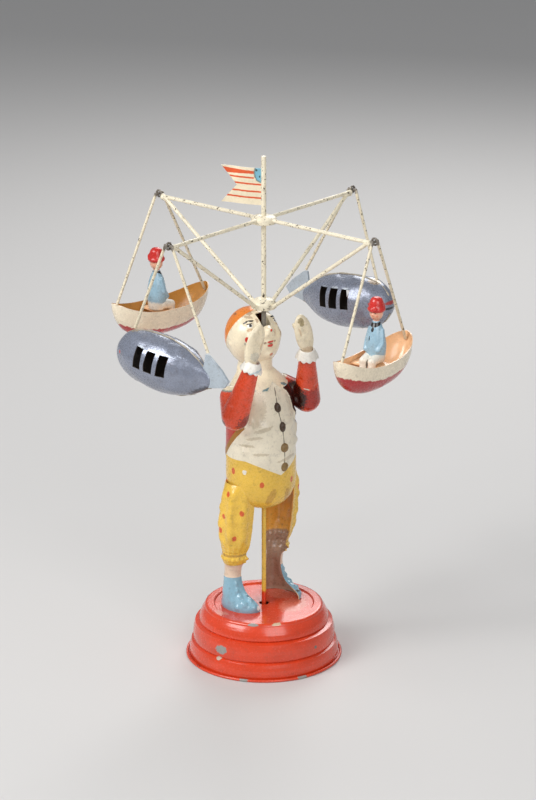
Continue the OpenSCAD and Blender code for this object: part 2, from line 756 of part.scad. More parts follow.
// Angle, height, swell, spread round the head and spread up the head
face_bumps = [[270, -0.12 * head_h, 0.2, 11, 4.2],
              [270, -0.86 * head_h, 0.16, 26, 4],
              [270, -0.47 * head_h, 0.05, 16, 2.4],
              [244, -0.22 * head_h, 0.05, 15, 4.5],
              [296, -0.22 * head_h, 0.05, 15, 4.5],
              [250, 0.3 * head_h, 0.035, 12, 3],
              [290, 0.3 * head_h, 0.035, 12, 3]];

module place_head() {
    translate([0, head_back_y, head_z]) rotate([-head_tilt, 0, 0]) children();
}

// Clear space in the forehead's opening in front of the shaft and behind it
brow_front = 1.9;
brow_behind = 3.5;
module head_openings() {
    translate([0, 0, neck_z - 2 * neck_l])
        linear_extrude(height = 2 * neck_l + seam_gap) neck_outline(seam_gap);
    translate([0, 0, neck_z - neck_l]) cylinder(r = shaft_r + crotch_gap, h = neck_l + head_up, $fn = 32);
    translate([-brow_hole_w / 2, -shaft_r - brow_front, head_z + 0.4 * head_h])
        cube([brow_hole_w, 2 * shaft_r + brow_front + brow_behind, head_h]);
}

face_steps = 24;
module face() {
    color(skin) difference() {
        place_head() half_shell(head_rows, sheet_t, 180, 360, face_steps, face_bumps);
        head_openings();
    }
}

module head_back() {
    color([0.85, 0.5, 0.24]) difference() {
        place_head() half_shell(head_rows, sheet_t, 0, 180, half_steps);
        head_openings();
    }
}

// Arms. Points are given for the figure's left, and the right side mirrors them.
shoulder_at = [shoulder_x, shoulder_y, crotch_z + shoulder_up];
elbow_at = [elbow_x, -elbow_y, crotch_z + shoulder_up - elbow_drop];
wrist_at = [wrist_x, -wrist_y, elbow_at[2] + wrist_rise];
forearm_dir = (wrist_at - elbow_at) / norm(wrist_at - elbow_at);
sleeve_r = 7.5;
cuff_l = 5;
cuff_flare = 1.4;
hand_t = 5;
hand_lean = 6.5;
thumb_r = 1.7;

// Flat palm with closed fingers, turned towards the face, and a thumb
module hand() {
    palm = wrist_at + [0, 0, cuff_l];
    tip = palm + [-hand_lean, -0.5, hand_l + 0.5];
    across = hand_w / 2 - hand_t / 2;
    hull() {
        for (side = [-1, 1], p = [palm + [0, 0, 0.3 * hand_l], palm + (tip - palm) * 0.7])
            ball(p + [side * across, 0, 0], hand_t / 2, 16);
        ball(palm, hand_t / 2 + 1, 16);
        ball(tip - [0, 0, hand_t / 2], hand_t / 2, 16);
    }
    hull() {
        ball(palm + [-2.5, 0, 0.2 * hand_l], thumb_r + 0.5, 14);
        ball(palm + [-hand_lean - 2.9, 1.6, 0.74 * hand_l], thumb_r, 14);
    }
}

// The sleeve's upper and lower part, less the sheet's thickness where it is cut out hollow
module sleeve(t) {
    hull() {
        ball(shoulder_at, sleeve_r - t, 24);
        ball(elbow_at, elbow_r - t, 24);
    }
    hull() {
        ball(elbow_at, elbow_r - t, 24);
        ball(wrist_at - 0.8 * cuff_l * forearm_dir, wrist_r - t, 24);
    }
}

module arm() {
    color(coat_red) difference() {
        union() {
            difference() {
                sleeve(0);
                sleeve(sheet_t);
            }
            rod(wrist_at - cuff_l * 0.6 * forearm_dir, wrist_at + cuff_l * 0.8 * forearm_dir,
                wrist_r + cuff_flare, hand_t / 2 + 2, 32);
            hand();
        }
        torso_outside();
    }
}

module left_arm() { arm(); }

module right_arm() { mirror([1, 0, 0]) arm(); }

// Legs: half shells, open towards each other, that stand on the base with a tab through its top
shoe_mid = -2.5;
shoe_b = 10;
ankle_y = 3.9;
sock_w = 5.9;
sock_b = 6.7;
cuff_w = 8.7;
cuff_b = 9.9;
cuff_z = 0.45 * leg_h;
tab_w = 6;
tab_t = 0.8;
tab_drop = 2.6;
tab_gap = 0.3;
function leg_row(z, mid, deep, bulge, square = 2.4) = [z, 0, mid, bulge, deep, deep, square];
leg_rows = [
    leg_row(0, shoe_mid, shoe_l / 2 - 0.5, shoe_b - 0.4),
    leg_row(1.6, shoe_mid, shoe_l / 2, shoe_b),
    leg_row(0.45 * shoe_h, shoe_mid + 0.4, shoe_l / 2 - 1, shoe_b - 0.5),
    leg_row(0.75 * shoe_h, shoe_mid + 2.4, shoe_l / 2 - 3.8, shoe_b - 1.2),
    leg_row(shoe_h, ankle_y - 1.4, sock_w + 2.9, 0.84 * shoe_b),
    leg_row(shoe_h + 4.3, ankle_y - 0.6, sock_w + 1.1, sock_b + 0.9),
    leg_row(0.6 * cuff_z, ankle_y, sock_w + 0.3, sock_b + 0.3),
    leg_row(0.7 * cuff_z, ankle_y + 0.2, sock_w, sock_b),
    leg_row(cuff_z - 1, ankle_y - 0.5, sock_w, sock_b),
    leg_row(cuff_z, ankle_y - 1.2, cuff_w - 1.1, cuff_b - 1.1),
    leg_row(cuff_z + 3.6, ankle_y - 1.5, cuff_w - 0.1, cuff_b - 0.1),
    leg_row(cuff_z + 6.4, ankle_y - 1.6, cuff_w, cuff_b),
    leg_row(cuff_z + 8, ankle_y - 1.7, cuff_w - 0.3, cuff_b - 0.3),
    leg_row(cuff_z + 10.8, 1.5, 0.4 * trouser_w, 0.79 * trouser_b),
    leg_row(cuff_z + 14.6, 1, 0.435 * trouser_w, 0.865 * trouser_b),
    leg_row(0.77 * leg_h, 0.7, 0.485 * trouser_w, 0.965 * trouser_b),
    leg_row(0.885 * leg_h, 0.2, 0.5 * trouser_w, trouser_b),
    leg_row(leg_h, -0.8, 0.49 * trouser_w, 0.985 * trouser_b),
    leg_row(1.115 * leg_h, -1.6, 0.48 * trouser_w, 0.955 * trouser_b),
    leg_row(1.195 * leg_h, -2.2, 0.46 * trouser_w, 0.905 * trouser_b),
    leg_row(1.265 * leg_h, -2.4, 0.435 * trouser_w, 0.79 * trouser_b),
    leg_row(1.33 * leg_h, -2.4, 0.4 * trouser_w, 0.645 * trouser_b)];

module place_leg(side) {
    translate([side * leg_x, leg_y, base_h]) rotate([0, 0, leg_turn])
        mirror([side < 0 ? 1 : 0, 0, 0]) children();
}

module foot_tab(gap) {
    translate([shoe_b - 0.4 - tab_t - gap, shoe_mid - tab_w / 2 - gap, -tab_drop])
        cube([tab_t + 2 * gap, tab_w + 2 * gap, tab_drop + 0.8]);
}

module leg(side) {
    color(trouser_yellow) difference() {
        place_leg(side) union() {
            half_shell(leg_rows, sheet_t, -90, 90, 14);
            foot_tab(0);
        }
        torso_outside();
    }
}

module right_leg() { leg(-1); }

module left_leg() { leg(1); }

// Carousel
function arm_angle(k) = carousel_turn + 90 * (k - 1);
mast_end = 0.6;

module mast() {
    color(cream) difference() {
        translate([0, 0, hub_z]) cylinder(r = mast_r, h = mast_top - hub_z, $fn = 32);
        translate([0, 0, hub_z - 1]) cylinder(r = spigot_r + seat_gap, h = spigot_l + 1 + mast_end, $fn = 32);
    }
}

// Domed disc of the given height, with a rim thick enough to hold the wires
module domed_disc(h, rim) {
    rotate_extrude($fn = round_fn)
        polygon(concat([[0, 0], [hub_r - 0.4, 0], [hub_r, 0.4]],
                       [for (a = [0:15:90]) [mast_r + 1 + (hub_r - mast_r - 1) * cos(a),
                                             rim + (h - rim) * sin(a)]],
                       [[0, h]]));
}

module upper_hub() {
    color(cream) difference() {
        translate([0, 0, arm_z - upper_hub_h / 2]) domed_disc(upper_hub_h, upper_hub_h / 2 + 0.5);
        translate([0, 0, arm_z - upper_hub_h]) cylinder(r = mast_r + seat_gap, h = 2 * upper_hub_h, $fn = 32);
        for (k = [1:4]) arm_wire(k, seat_gap);
    }
}

module lower_hub() {
    color(cream) difference() {
        translate([0, 0, hub_z]) domed_disc(lower_hub_h, lower_hub_h * 0.35);
        translate([0, 0, hub_z - 1]) cylinder(r = mast_r + seat_gap, h = lower_hub_h + 2, $fn = 32);
        for (k = [1:4]) strut_wire(k, seat_gap);
    }
}

function around(k, r, z) = [r * cos(arm_angle(k)), r * sin(arm_angle(k)), z];
arm_in_r = mast_r + 2.2;
arm_out_r = eye_r - sqrt(pow(eye_ring_r, 2) - pow(eye_lift, 2)) - 0.9;
strut_in = [hub_r - 1, 1.6];

module arm_wire(k, gap) { rod(around(k, arm_in_r, arm_z), around(k, arm_out_r, arm_z), arm_r + gap); }

module strut_wire(k, gap) {
    rod(around(k, strut_in[0], hub_z + strut_in[1]), around(k, eye_r - strut_back, arm_z), arm_r + gap);
}

// Upper arm with the wire eye that a hanger swings in
module upper_arm(k) {
    color(cream) {
        arm_wire(k, 0);
        translate(around(k, eye_r, eye_z)) rotate([90, 0, arm_angle(k)])
            rotate_extrude($fn = round_fn) translate([eye_ring_r, 0]) circle(r = eye_wire_r, $fn = wire_fn);
    }
}

// Lower strut, cut to lie against the arm that it carries
module lower_strut(k) {
    color(cream) difference() {
        strut_wire(k, 0);
        rod(around(k, eye_r - 2 * strut_back, arm_z), around(k, eye_r, arm_z), arm_r + seat_gap);
        translate(around(k, eye_r - strut_back, arm_z) - [2 * arm_r, 2 * arm_r, 0])
            cube([4 * arm_r, 4 * arm_r, 4 * arm_r]);
    }
}

// Tin flag with a swallow tail, waved from the mast outwards
flag_t = 0.4;
flag_top = mast_top - 8;
flag_steps = 10;
module flag() {
    n = flag_steps;
    m = 6;
    function reach(v) = flag_l - flag_notch * (1 - abs(2 * v - 1));
    function wave(x) = flag_wave * sin(360 * x / flag_l) * x / flag_l;
    function point(i, j, side) =
        let (v = j / m, x = mast_r + seat_gap + (reach(v) - mast_r) * i / n)
        [x, wave(x - mast_r) + side * flag_t / 2, flag_top - flag_h * v + 0.1 * (x - mast_r)];
    w = m + 1;
    size = (n + 1) * w;
    points = [for (side = [-1, 1], i = [0:n], j = [0:m]) point(i, j, side)];
    faces = concat(
        [for (i = [0:n - 1], j = [0:m - 1]) each let (a = i * w + j, b = a + w)
            [[a, b + 1, b], [a, a + 1, b + 1],
             [size + a, size + b, size + b + 1], [size + a, size + b + 1, size + a + 1]]],
        [for (i = [0:n - 1]) each let (a = i * w, b = i * w + m)
            [[a, a + w, size + a + w], [a, size + a + w, size + a],
             [b, size + b + w, b + w], [b, size + b, size + b + w]]],
        [for (j = [0:m - 1]) each let (a = j, b = n * w + j)
            [[a, size + a + 1, a + 1], [a, size + a, size + a + 1],
             [b, b + 1, size + b + 1], [b, size + b + 1, size + b]]]);
    color(cream) rotate([0, 0, carousel_turn + flag_turn]) polyhedron(points, faces, convexity = 8);
}

// Gondolas. Their own frame has its origin in the eye, +x the way they travel and +y outwards.
// Arms 1 and 3 carry airships, arm 2 the boat behind the figure and arm 4 the boat in front of it.
gondola_turn = [0, rear_boat_turn, 0, front_boat_turn];

module place_gondola(k) {
    translate(around(k, eye_r, eye_z))
        rotate([0, 0, arm_angle(k) - 90 + gondola_turn[k - 1]]) children();
}

// Turns a surface drawn along z so that it lies along +x, with its own y upwards
module lengthwise() { rotate([90, 0, 90]) children(); }

// Hanger wire: a short bar through the eye, two worked bends and two legs
module hanger(front, back) {
    left = [hanger_bar, 0, 0];
    bend_r = 1.1 * hanger_r;
    color(cream) {
        rod(-left, left, hanger_r);
        ball(-left, bend_r);
        ball(left, bend_r);
        rod(left, front, hanger_r);
        rod(-left, back, hanger_r);
    }
}

boat_square = 2.3;
// Boats: share of the half length, half width, sheer and depth of each ring from amidships to an end
boat_shape = [[0, 1, 0, 1], [0.2, 0.99, 0.02, 1], [0.4, 0.95, 0.1, 0.99], [0.6, 0.86, 0.28, 0.95],
              [0.78, 0.68, 0.54, 0.86], [0.92, 0.42, 0.84, 0.6], [1, 0.08, 1, 0.2]];
function boat_at(share, column) = lookup(share, [for (s = boat_shape) [s[0], s[column]]]);
function boat_row(s, end) =
    [end * s[0] * boat_l / 2, 0, s[2] * boat_sheer - boat_drop, s[1] * boat_w,
     s[3] * boat_d, s[3] * boat_d, boat_square];
boat_rows = concat([for (i = [len(boat_shape) - 1:-1:1]) boat_row(boat_shape[i], -1)],
                   [for (s = boat_shape) boat_row(s, 1)]);

module boat_hull(k) {
    color(cream) place_gondola(k) lengthwise() half_shell(boat_rows, sheet_t, 180, 360, 12);
}

thwart_t = 1;
thwart_fall = 3;
thwart_z = -boat_drop - thwart_fall;
// Inside half width of the boat at the thwart
thwart_deep = (thwart_fall + thwart_t) / (boat_d - sheet_t);
thwart_half = (0.965 * boat_w - sheet_t) * pow(1 - pow(thwart_deep, boat_square), 1 / boat_square);
module boat_thwart(k) {
    color([0.78, 0.6, 0.42]) place_gondola(k)
        translate([-thwart_w / 2, -thwart_half + seam_gap, thwart_z - thwart_t])
            cube([thwart_w, 2 * (thwart_half - seam_gap), thwart_t]);
}

// Sailor: jacket, head and hat, sitting on the thwart with the legs forward
sailor_leg_r = 2.6;
sailor_sleeve_r = 2;
joint_swell = 1.08;
knee_x = 10;
knee_y = 3;
module boat_sailor(k) {
    head_r = 0.72 * sailor_r;
    jacket_h = 0.6 * sailor_h;
    head_at = thwart_z + 0.75 * sailor_h;
    knee_z = thwart_z + joint_swell * sailor_leg_r;
    function hand_at(side) = [sailor_r, side * 0.8 * sailor_r, thwart_z + 0.34 * jacket_h];
    color(jacket_blue) place_gondola(k) translate([-sailor_aft, 0, 0]) {
        translate([0, 0, thwart_z]) rotate_extrude($fn = 40)
            polygon([[0, 0], [0.86 * sailor_r, 0], [0.98 * sailor_r, 0.12 * jacket_h],
                     [0.8 * sailor_r, 0.42 * jacket_h], [sailor_r, 0.76 * jacket_h],
                     [0.85 * sailor_r, 0.92 * jacket_h], [0.4 * sailor_r, jacket_h],
                     [0.4 * sailor_r, 1.12 * jacket_h], [0, 1.12 * jacket_h]]);
        ball([0, 0, head_at], head_r, 32);
        translate([0, 0, head_at + 0.35 * head_r]) rotate_extrude($fn = 40)
            polygon([[0, 0], [1.2 * head_r, 0], [1.3 * head_r, 0.4 * head_r], [1.05 * head_r, 0.9 * head_r],
                     [0.5 * head_r, thwart_z + sailor_h - head_at - 0.35 * head_r],
                     [0, thwart_z + sailor_h - head_at - 0.35 * head_r]]);
        for (side = [-1, 1]) {
            rod([0, side * knee_y, knee_z], [knee_x, side * knee_y, knee_z], sailor_leg_r);
            ball([knee_x, side * knee_y, knee_z], joint_swell * sailor_leg_r);
            rod([0, side * 0.95 * sailor_r, thwart_z + 0.8 * jacket_h], hand_at(side), sailor_sleeve_r);
            ball(hand_at(side), joint_swell * sailor_sleeve_r);
        }
    }
}

// The hanger is soldered to the sloping ends of the boat, on the inside
hold_share = 0.955;
hold_lift = 3.2;
boat_hold = [hold_share * boat_l / 2, 0, boat_at(hold_share, 2) * boat_sheer - boat_drop
             - boat_at(hold_share, 3) * boat_d + sheet_t + hold_lift];
module boat_hanger(k) {
    place_gondola(k) hanger(boat_hold, [-boat_hold[0], 0, boat_hold[2]]);
}

// Airships, drawn about their middle line and then hung, pitched nose upwards.
// A row of the shape gives shares of the length from the nose, of the half height and of the half width.
ship_shape = [[0, 0.1, 0.1], [0.02, 0.34, 0.34], [0.06, 0.57, 0.57], [0.14, 0.8, 0.79],
              [0.26, 0.94, 0.94], [0.4, 1, 1], [0.55, 1, 0.98], [0.7, 0.89, 0.83],
              [0.83, 0.65, 0.54], [0.93, 0.36, 0.24], [1, 0.2, 0.08]];
ship_rows = [for (i = [len(ship_shape) - 1:-1:0]) let (s = ship_shape[i])
    [ship_nose - s[0] * ship_l, 0, 0, s[2] * ship_w, s[1] * ship_h, s[1] * ship_h, 2]];
fin_root = ship_nose - ship_l;
ship_shift = [rear_ship_shift, 0, front_ship_shift];

module place_ship(k) {
    place_gondola(k) translate([ship_shift[k - 1], 0, -ship_drop]) rotate([0, -ship_pitch, 0]) children();
}
// A point of the airship's middle plane, seen from the eye
function ship_point(k, x, z) = [ship_shift[k - 1] + x * cos(ship_pitch) - z * sin(ship_pitch), 0,
                                x * sin(ship_pitch) + z * cos(ship_pitch) - ship_drop];

// Tail fin, standing up from the pinched tail
module fin_outline() {
    polygon([[fin_root + 9, 1], [fin_root + 6.5, 0.6 * fin_up],
             [fin_root + 6, fin_up], [fin_root + 3, fin_up],
             [fin_root - 0.55 * fin_back, 0.62 * fin_up],
             [fin_root - fin_back, 0.28 * fin_up],
             [fin_root - 0.8 * fin_back, 0], [fin_root, -0.2 * ship_h],
             [fin_root + 9, -0.3 * ship_h]]);
}

// Half an airship with its windows and half its fin; side is 1 outwards and -1 inwards
window_z = 0.24 * ship_h;
module airship_half(k, side) {
    color(silver_lacquer) place_ship(k) difference() {
        union() {
            lengthwise() half_shell(ship_rows, sheet_t, side > 0 ? -90 : 90, side > 0 ? 90 : 270, 16);
            upright(side > 0 ? fin_t : 0, fin_t) fin_outline();
        }
        for (i = [-1:1])
            translate([window_x + i * window_pitch - window_w / 2, side > 0 ? ship_w * 0.4 : -ship_w - 1,
                       window_z - window_h / 2])
                cube([window_w, 0.6 * ship_w + 1, window_h]);
    }
}

// Passenger: a seated bust, near the front window in the airship behind and at the rear one in front
passenger_r = 4.6;
passenger_x = [window_x + 0.8 * window_pitch, 0, window_x - window_pitch];
passenger_lift = 0.9;
function ship_deep(x) = ship_h * lookup((ship_nose - x) / ship_l, [for (s = ship_shape) [s[0], s[1]]]);
module airship_passenger(k) {
    seat_x = passenger_x[k - 1];
    color(skin) place_ship(k) translate([seat_x, 0, sheet_t + passenger_lift - ship_deep(seat_x)]) {
        rotate_extrude($fn = 32)
            polygon([[0, 0], [0.7 * passenger_r, 0], [passenger_r, 0.16 * passenger_h],
                     [passenger_r, 0.42 * passenger_h], [0.4 * passenger_r, 0.56 * passenger_h],
                     [0.4 * passenger_r, 0.7 * passenger_h], [0, 0.7 * passenger_h]]);
        ball([0, 0, 0.82 * passenger_h], 0.18 * passenger_h, 32);
    }
}

ship_hold_x = ship_nose - 0.14 * ship_l;
module airship_hanger(k) {
    place_gondola(k)
        hanger(ship_point(k, ship_hold_x, 0.8 * ship_h + hanger_r + seam_gap),
               ship_point(k, fin_root + 4.5, fin_up + hanger_r + seam_gap));
}

base_bell();
floor_plate();
front_plate();
rear_plate();
pillars();
plate_rivets();
winding_arbor();
winding_key();
mainspring();
great_wheel();
ratchet_wheel();
click();
click_rivet();
pinion_arbor();
crown_wheel();
shaft_pinion();
footstep_bearing();
drive_shaft();
neck_bearing();
torso_front();
torso_back();
face();
head_back();
right_arm();
left_arm();
right_leg();
left_leg();
mast();
upper_hub();
lower_hub();
flag();
for (k = [1:4]) {
    upper_arm(k);
    lower_strut(k);
}
for (i = [1:2]) {
    boat_hull(2 * i);
    boat_thwart(2 * i);
    boat_sailor(2 * i);
    boat_hanger(2 * i);
    airship_half(2 * i - 1, 1);
    airship_half(2 * i - 1, -1);
    airship_passenger(2 * i - 1);
    airship_hanger(2 * i - 1);
}
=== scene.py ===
import json
import math

import bpy
from bpy.props import FloatProperty, FloatVectorProperty, IntProperty, PointerProperty
from mathutils import Matrix, Vector


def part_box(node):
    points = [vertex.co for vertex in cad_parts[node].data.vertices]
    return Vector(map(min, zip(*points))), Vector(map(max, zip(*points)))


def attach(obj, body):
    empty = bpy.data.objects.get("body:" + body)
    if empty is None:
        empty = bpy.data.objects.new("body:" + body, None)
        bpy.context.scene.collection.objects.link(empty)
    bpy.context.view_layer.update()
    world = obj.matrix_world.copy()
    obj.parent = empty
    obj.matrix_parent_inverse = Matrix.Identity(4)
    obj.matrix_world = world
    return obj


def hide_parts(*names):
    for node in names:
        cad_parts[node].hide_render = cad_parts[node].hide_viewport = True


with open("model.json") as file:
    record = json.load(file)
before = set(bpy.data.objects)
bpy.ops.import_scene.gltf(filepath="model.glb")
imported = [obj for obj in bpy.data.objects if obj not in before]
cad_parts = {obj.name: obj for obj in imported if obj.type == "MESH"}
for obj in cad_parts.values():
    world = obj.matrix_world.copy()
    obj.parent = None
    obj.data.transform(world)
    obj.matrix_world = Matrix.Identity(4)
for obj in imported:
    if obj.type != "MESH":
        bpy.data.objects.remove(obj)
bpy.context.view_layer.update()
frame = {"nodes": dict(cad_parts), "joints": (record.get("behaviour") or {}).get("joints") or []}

bl_info = {
    "name": "Carousel toy",
    "version": (1, 0, 0),
    "blender": (4, 5, 0),
    "location": "View3D > Sidebar > Toy",
    "description": "Builds the painted tin pieces of a clockwork carousel toy on its construction frame",
    "category": "Object",
}

MM = 0.001


def srgb(red, green, blue):
    """A colour written as display values from 0 to 255, as the linear colour that nodes use."""
    def linear(value):
        value /= 255
        return value / 12.92 if value <= 0.04045 else ((value + 0.055) / 1.055) ** 2.4
    return (linear(red), linear(green), linear(blue))


def colour(name, about, red, green, blue):
    """A colour property with its default in display values."""
    return FloatVectorProperty(name=name, description=about, subtype="COLOR", size=3, min=0, max=1,
                               default=srgb(red, green, blue))


def length(name, about, default, low, high):
    """A length property in metres with its default in mm."""
    return FloatProperty(name=name, description=about, unit="LENGTH", subtype="DISTANCE",
                         default=default * MM, min=low * MM, max=high * MM)


class ToySizes(bpy.types.PropertyGroup):
    """Sizes of the painted pieces"""
    sheet: length("Sheet", "Thickness of the tin sheet", 0.6, 0.3, 1.0)
    emboss: length("Emboss", "Height of the pressed collar and coat edges", 0.5, 0.1, 1.0)
    button: length("Button", "Width of a waistcoat button", 6.0, 2, 8)
    dot: length("Dot", "Width of a painted trouser dot", 3.3, 1, 5)
    trim: length("Trim", "Width of the gold edge of the coat", 3.2, 1, 6)
    bead: length("Solder bead", "Width of the soldered seams of the airships", 1.5, 0.4, 2.5)
    stripe: length("Stripe", "Width of a painted flag stripe", 1.1, 0.4, 3)
    scallops: IntProperty(name="Scallops", description="Points round a cuff", default=11, min=5, max=24)
    wear: FloatProperty(name="Wear", description="How far the paint is chipped and specked",
                        subtype="FACTOR", default=0.5, min=0, max=1)


class ToyColours(bpy.types.PropertyGroup):
    """Paint colours of the toy"""
    base: colour("Base", "Enamel of the base", 216, 66, 32)
    # The upper sleeves take the sleeve red with darker painted shade over it; the coat red is not used on them.
    coat: colour("Coat", "Red of the coat and upper sleeves", 190, 42, 22)
    sleeve: colour("Sleeve", "Brighter red of the forearms", 224, 74, 36)
    waistcoat: colour("Waistcoat", "Grey cream of the waistcoat", 242, 232, 208)
    trim: colour("Trim", "Gold brown of the coat edge and lower buttons", 168, 116, 44)
    trousers: colour("Trousers", "Yellow of the trousers and the rod", 234, 190, 72)
    dots: colour("Dots", "Orange red of the dots", 214, 92, 36)
    shoes: colour("Shoes", "Light blue of the shoes", 136, 178, 196)
    socks: colour("Socks", "Pinkish cream of the socks", 226, 200, 176)
    ivory: colour("Ivory", "Head, hands and cuffs", 240, 226, 196)
    hair: colour("Hair", "Orange of the hair", 226, 128, 44)
    lips: colour("Lips", "Red of lips, nose and cheeks", 206, 52, 34)
    cream: colour("Cream", "Mast, arms and hangers", 236, 226, 200)
    hull: colour("Hull", "Upper part of the boats", 236, 222, 196)
    keel: colour("Keel", "Lower part of the boats", 176, 40, 40)
    gold: colour("Gold", "Inside of the boat behind", 204, 146, 74)
    peach: colour("Peach", "Inside of the boat in front", 244, 198, 152)
    jacket: colour("Jacket", "Jackets of the sailors", 156, 190, 208)
    skin: colour("Skin", "Faces of sailors and passengers", 236, 176, 146)
    cap: colour("Cap", "Hats of the sailors", 208, 46, 40)
    silver: colour("Silver", "Lacquer of the airships", 138, 144, 160)
    canton: colour("Canton", "Blue corner of the flag", 126, 184, 204)
    brass: colour("Brass", "Clockwork wheels and key", 196, 156, 84)
    steel: colour("Steel", "Bare wire and clockwork plates", 150, 150, 148)


# ---------------------------------------------------------------------------------------------- materials

class Net:
    """A node tree that is being wired. Values may be sockets or plain numbers."""

    def __init__(self, tree):
        self.tree = tree

    def node(self, kind, inputs=None, **settings):
        node = self.tree.nodes.new(kind if kind.startswith("Node") else "ShaderNode" + kind)
        for key, value in settings.items():
            setattr(node, key, value)
        for key, value in (inputs or {}).items():
            if isinstance(value, bpy.types.NodeSocket):
                self.tree.links.new(value, node.inputs[key])
            else:
                node.inputs[key].default_value = value
        return node

    def math(self, what, first, second=0.0):
        return self.node("Math", {0: first, 1: second}, operation=what).outputs[0]

    def vector(self, what, first, second):
        return self.node("VectorMath", {0: first, 1: second}, operation=what)

    def rise(self, value, low, high):
        """0 below low, 1 above high, smooth between."""
        return self.node("MapRange", {"Value": value, "From Min": low, "From Max": high},
                         interpolation_type="SMOOTHSTEP").outputs[0]

    def mix(self, share, first, second):
        return self.node("Mix", {0: share, 6: first, 7: second}, data_type="RGBA").outputs[2]

    def noise(self, place, scale, detail=3.0, rough=0.5):
        return self.node("TexNoise", {"Vector": place, "Scale": scale, "Detail": detail,
                                      "Roughness": rough}).outputs[0]

    def group(self, tree, inputs):
        return self.node("Group", inputs, node_tree=tree)

    def place(self, own):
        """Where a point lies, in mm: in the piece's own frame before it was hung, or in the object's."""
        if own:
            return self.node("Attribute", attribute_name="own").outputs["Vector"]
        spot = self.node("TexCoord").outputs["Object"]
        return self.node("VectorMath", {0: spot, "Scale": 1 / MM}, operation="SCALE").outputs[0]


def node_group(name, inputs, outputs):
    """A new shader node group with its sockets, its inputs and the net inside it."""
    tree = bpy.data.node_groups.new(name, "ShaderNodeTree")
    for socket, kind, start in inputs:
        made = tree.interface.new_socket(name=socket, in_out="INPUT", socket_type="NodeSocket" + kind)
        made.default_value = start
    for socket, kind in outputs:
        tree.interface.new_socket(name=socket, in_out="OUTPUT", socket_type="NodeSocket" + kind)
    net = Net(tree)
    return tree, net, net.node("NodeGroupInput").outputs, net.node("NodeGroupOutput").inputs


def worn_paint():
    """Old enamel: mottled colour, grime, dark specks, and chips down to what lies under it."""
    if "Worn paint" in bpy.data.node_groups:
        return bpy.data.node_groups["Worn paint"]
    tree, net, given, out = node_group(
        "Worn paint",
        [("Place", "Vector", (0, 0, 0)), ("Paint", "Color", (1, 1, 1, 1)), ("Under", "Color", (1, 1, 1, 1)),
         ("Chips", "Float", 0.2), ("Chip size", "Float", 4.0), ("Grime", "Float", 0.3),
         ("Gloss", "Float", 0.3), ("Tin", "Float", 0.6)],
        [("Color", "Color"), ("Roughness", "Float"), ("Metallic", "Float"), ("Height", "Float")])
    place = given["Place"]
    broad = net.noise(place, 0.09, 3.0)
    fine = net.noise(place, 0.7, 4.0, 0.6)
    bright = net.math("ADD", net.math("MULTIPLY", broad, 0.34), net.math("MULTIPLY", fine, 0.16))
    tinted = net.node("HueSaturation", {"Value": net.math("ADD", bright, 0.75), "Color": given["Paint"]}).outputs[0]
    smear = net.math("MULTIPLY", net.rise(net.noise(place, 0.3, 6.0, 0.65), 0.5, 0.78), given["Grime"])
    tinted = net.mix(smear, tinted, (0.09, 0.055, 0.03, 1))
    specks = net.math("MULTIPLY", net.rise(net.noise(place, 1.5, 2.0), 0.68, 0.72), given["Grime"])
    tinted = net.mix(specks, tinted, (0.03, 0.022, 0.018, 1))
    scale = net.math("DIVIDE", 1.0, given["Chip size"])
    ragged = net.noise(place, scale, 5.0, 0.62)
    level = net.math("SUBTRACT", 0.82, net.math("MULTIPLY", given["Chips"], 0.3))
    chip = net.rise(net.math("SUBTRACT", ragged, level), 0.0, 0.02)
    links = tree.links.new
    links(net.mix(chip, tinted, given["Under"]), out["Color"])
    rough = net.math("ADD", given["Gloss"], net.math("MULTIPLY", net.math("SUBTRACT", fine, 0.5), 0.3))
    links(net.math("ADD", rough, net.math("MULTIPLY", chip, 0.12)), out["Roughness"])
    links(net.math("MULTIPLY", chip, given["Tin"]), out["Metallic"])
    relief = net.math("ADD", net.math("MULTIPLY", broad, 0.7), net.math("MULTIPLY", fine, 0.25))
    links(net.math("SUBTRACT", relief, net.math("MULTIPLY", chip, 0.5)), out["Height"])
    return tree


def paint_spot():
    """A hand-painted spot: an oval round a centre with a slightly ragged edge."""
    if "Paint spot" in bpy.data.node_groups:
        return bpy.data.node_groups["Paint spot"]
    tree, net, given, out = node_group(
        "Paint spot",
        [("Place", "Vector", (0, 0, 0)), ("Centre", "Vector", (0, 0, 0)), ("Size", "Vector", (1, 1, 1)),
         ("Turn", "Vector", (0, 0, 0)), ("Ragged", "Float", 0.2)],
        [("Mask", "Float")])
    away = net.vector("SUBTRACT", given["Place"], given["Centre"]).outputs[0]
    turned = net.node("VectorRotate", {"Vector": away, "Rotation": given["Turn"]},
                      rotation_type="EULER_XYZ", invert=True).outputs[0]
    reach = net.node("VectorMath", {0: net.vector("DIVIDE", turned, given["Size"]).outputs[0]},
                     operation="LENGTH").outputs["Value"]
    wobble = net.math("SUBTRACT", net.noise(given["Place"], 0.8, 3.0), 0.5)
    edge = net.math("ADD", reach, net.math("MULTIPLY", wobble, net.math("MULTIPLY", given["Ragged"], 2.0)))
    tree.links.new(net.math("SUBTRACT", 1.0, net.rise(edge, 0.84, 1.08)), out["Mask"])
    return tree


def spot(centre, size, paint, turn=(0, 0, 0), ragged=0.2, strength=1.0):
    """One painted spot: centre and half widths in mm, its paint, and its turn in degrees."""
    return (centre, size, paint, [math.radians(value) for value in turn], ragged, strength)


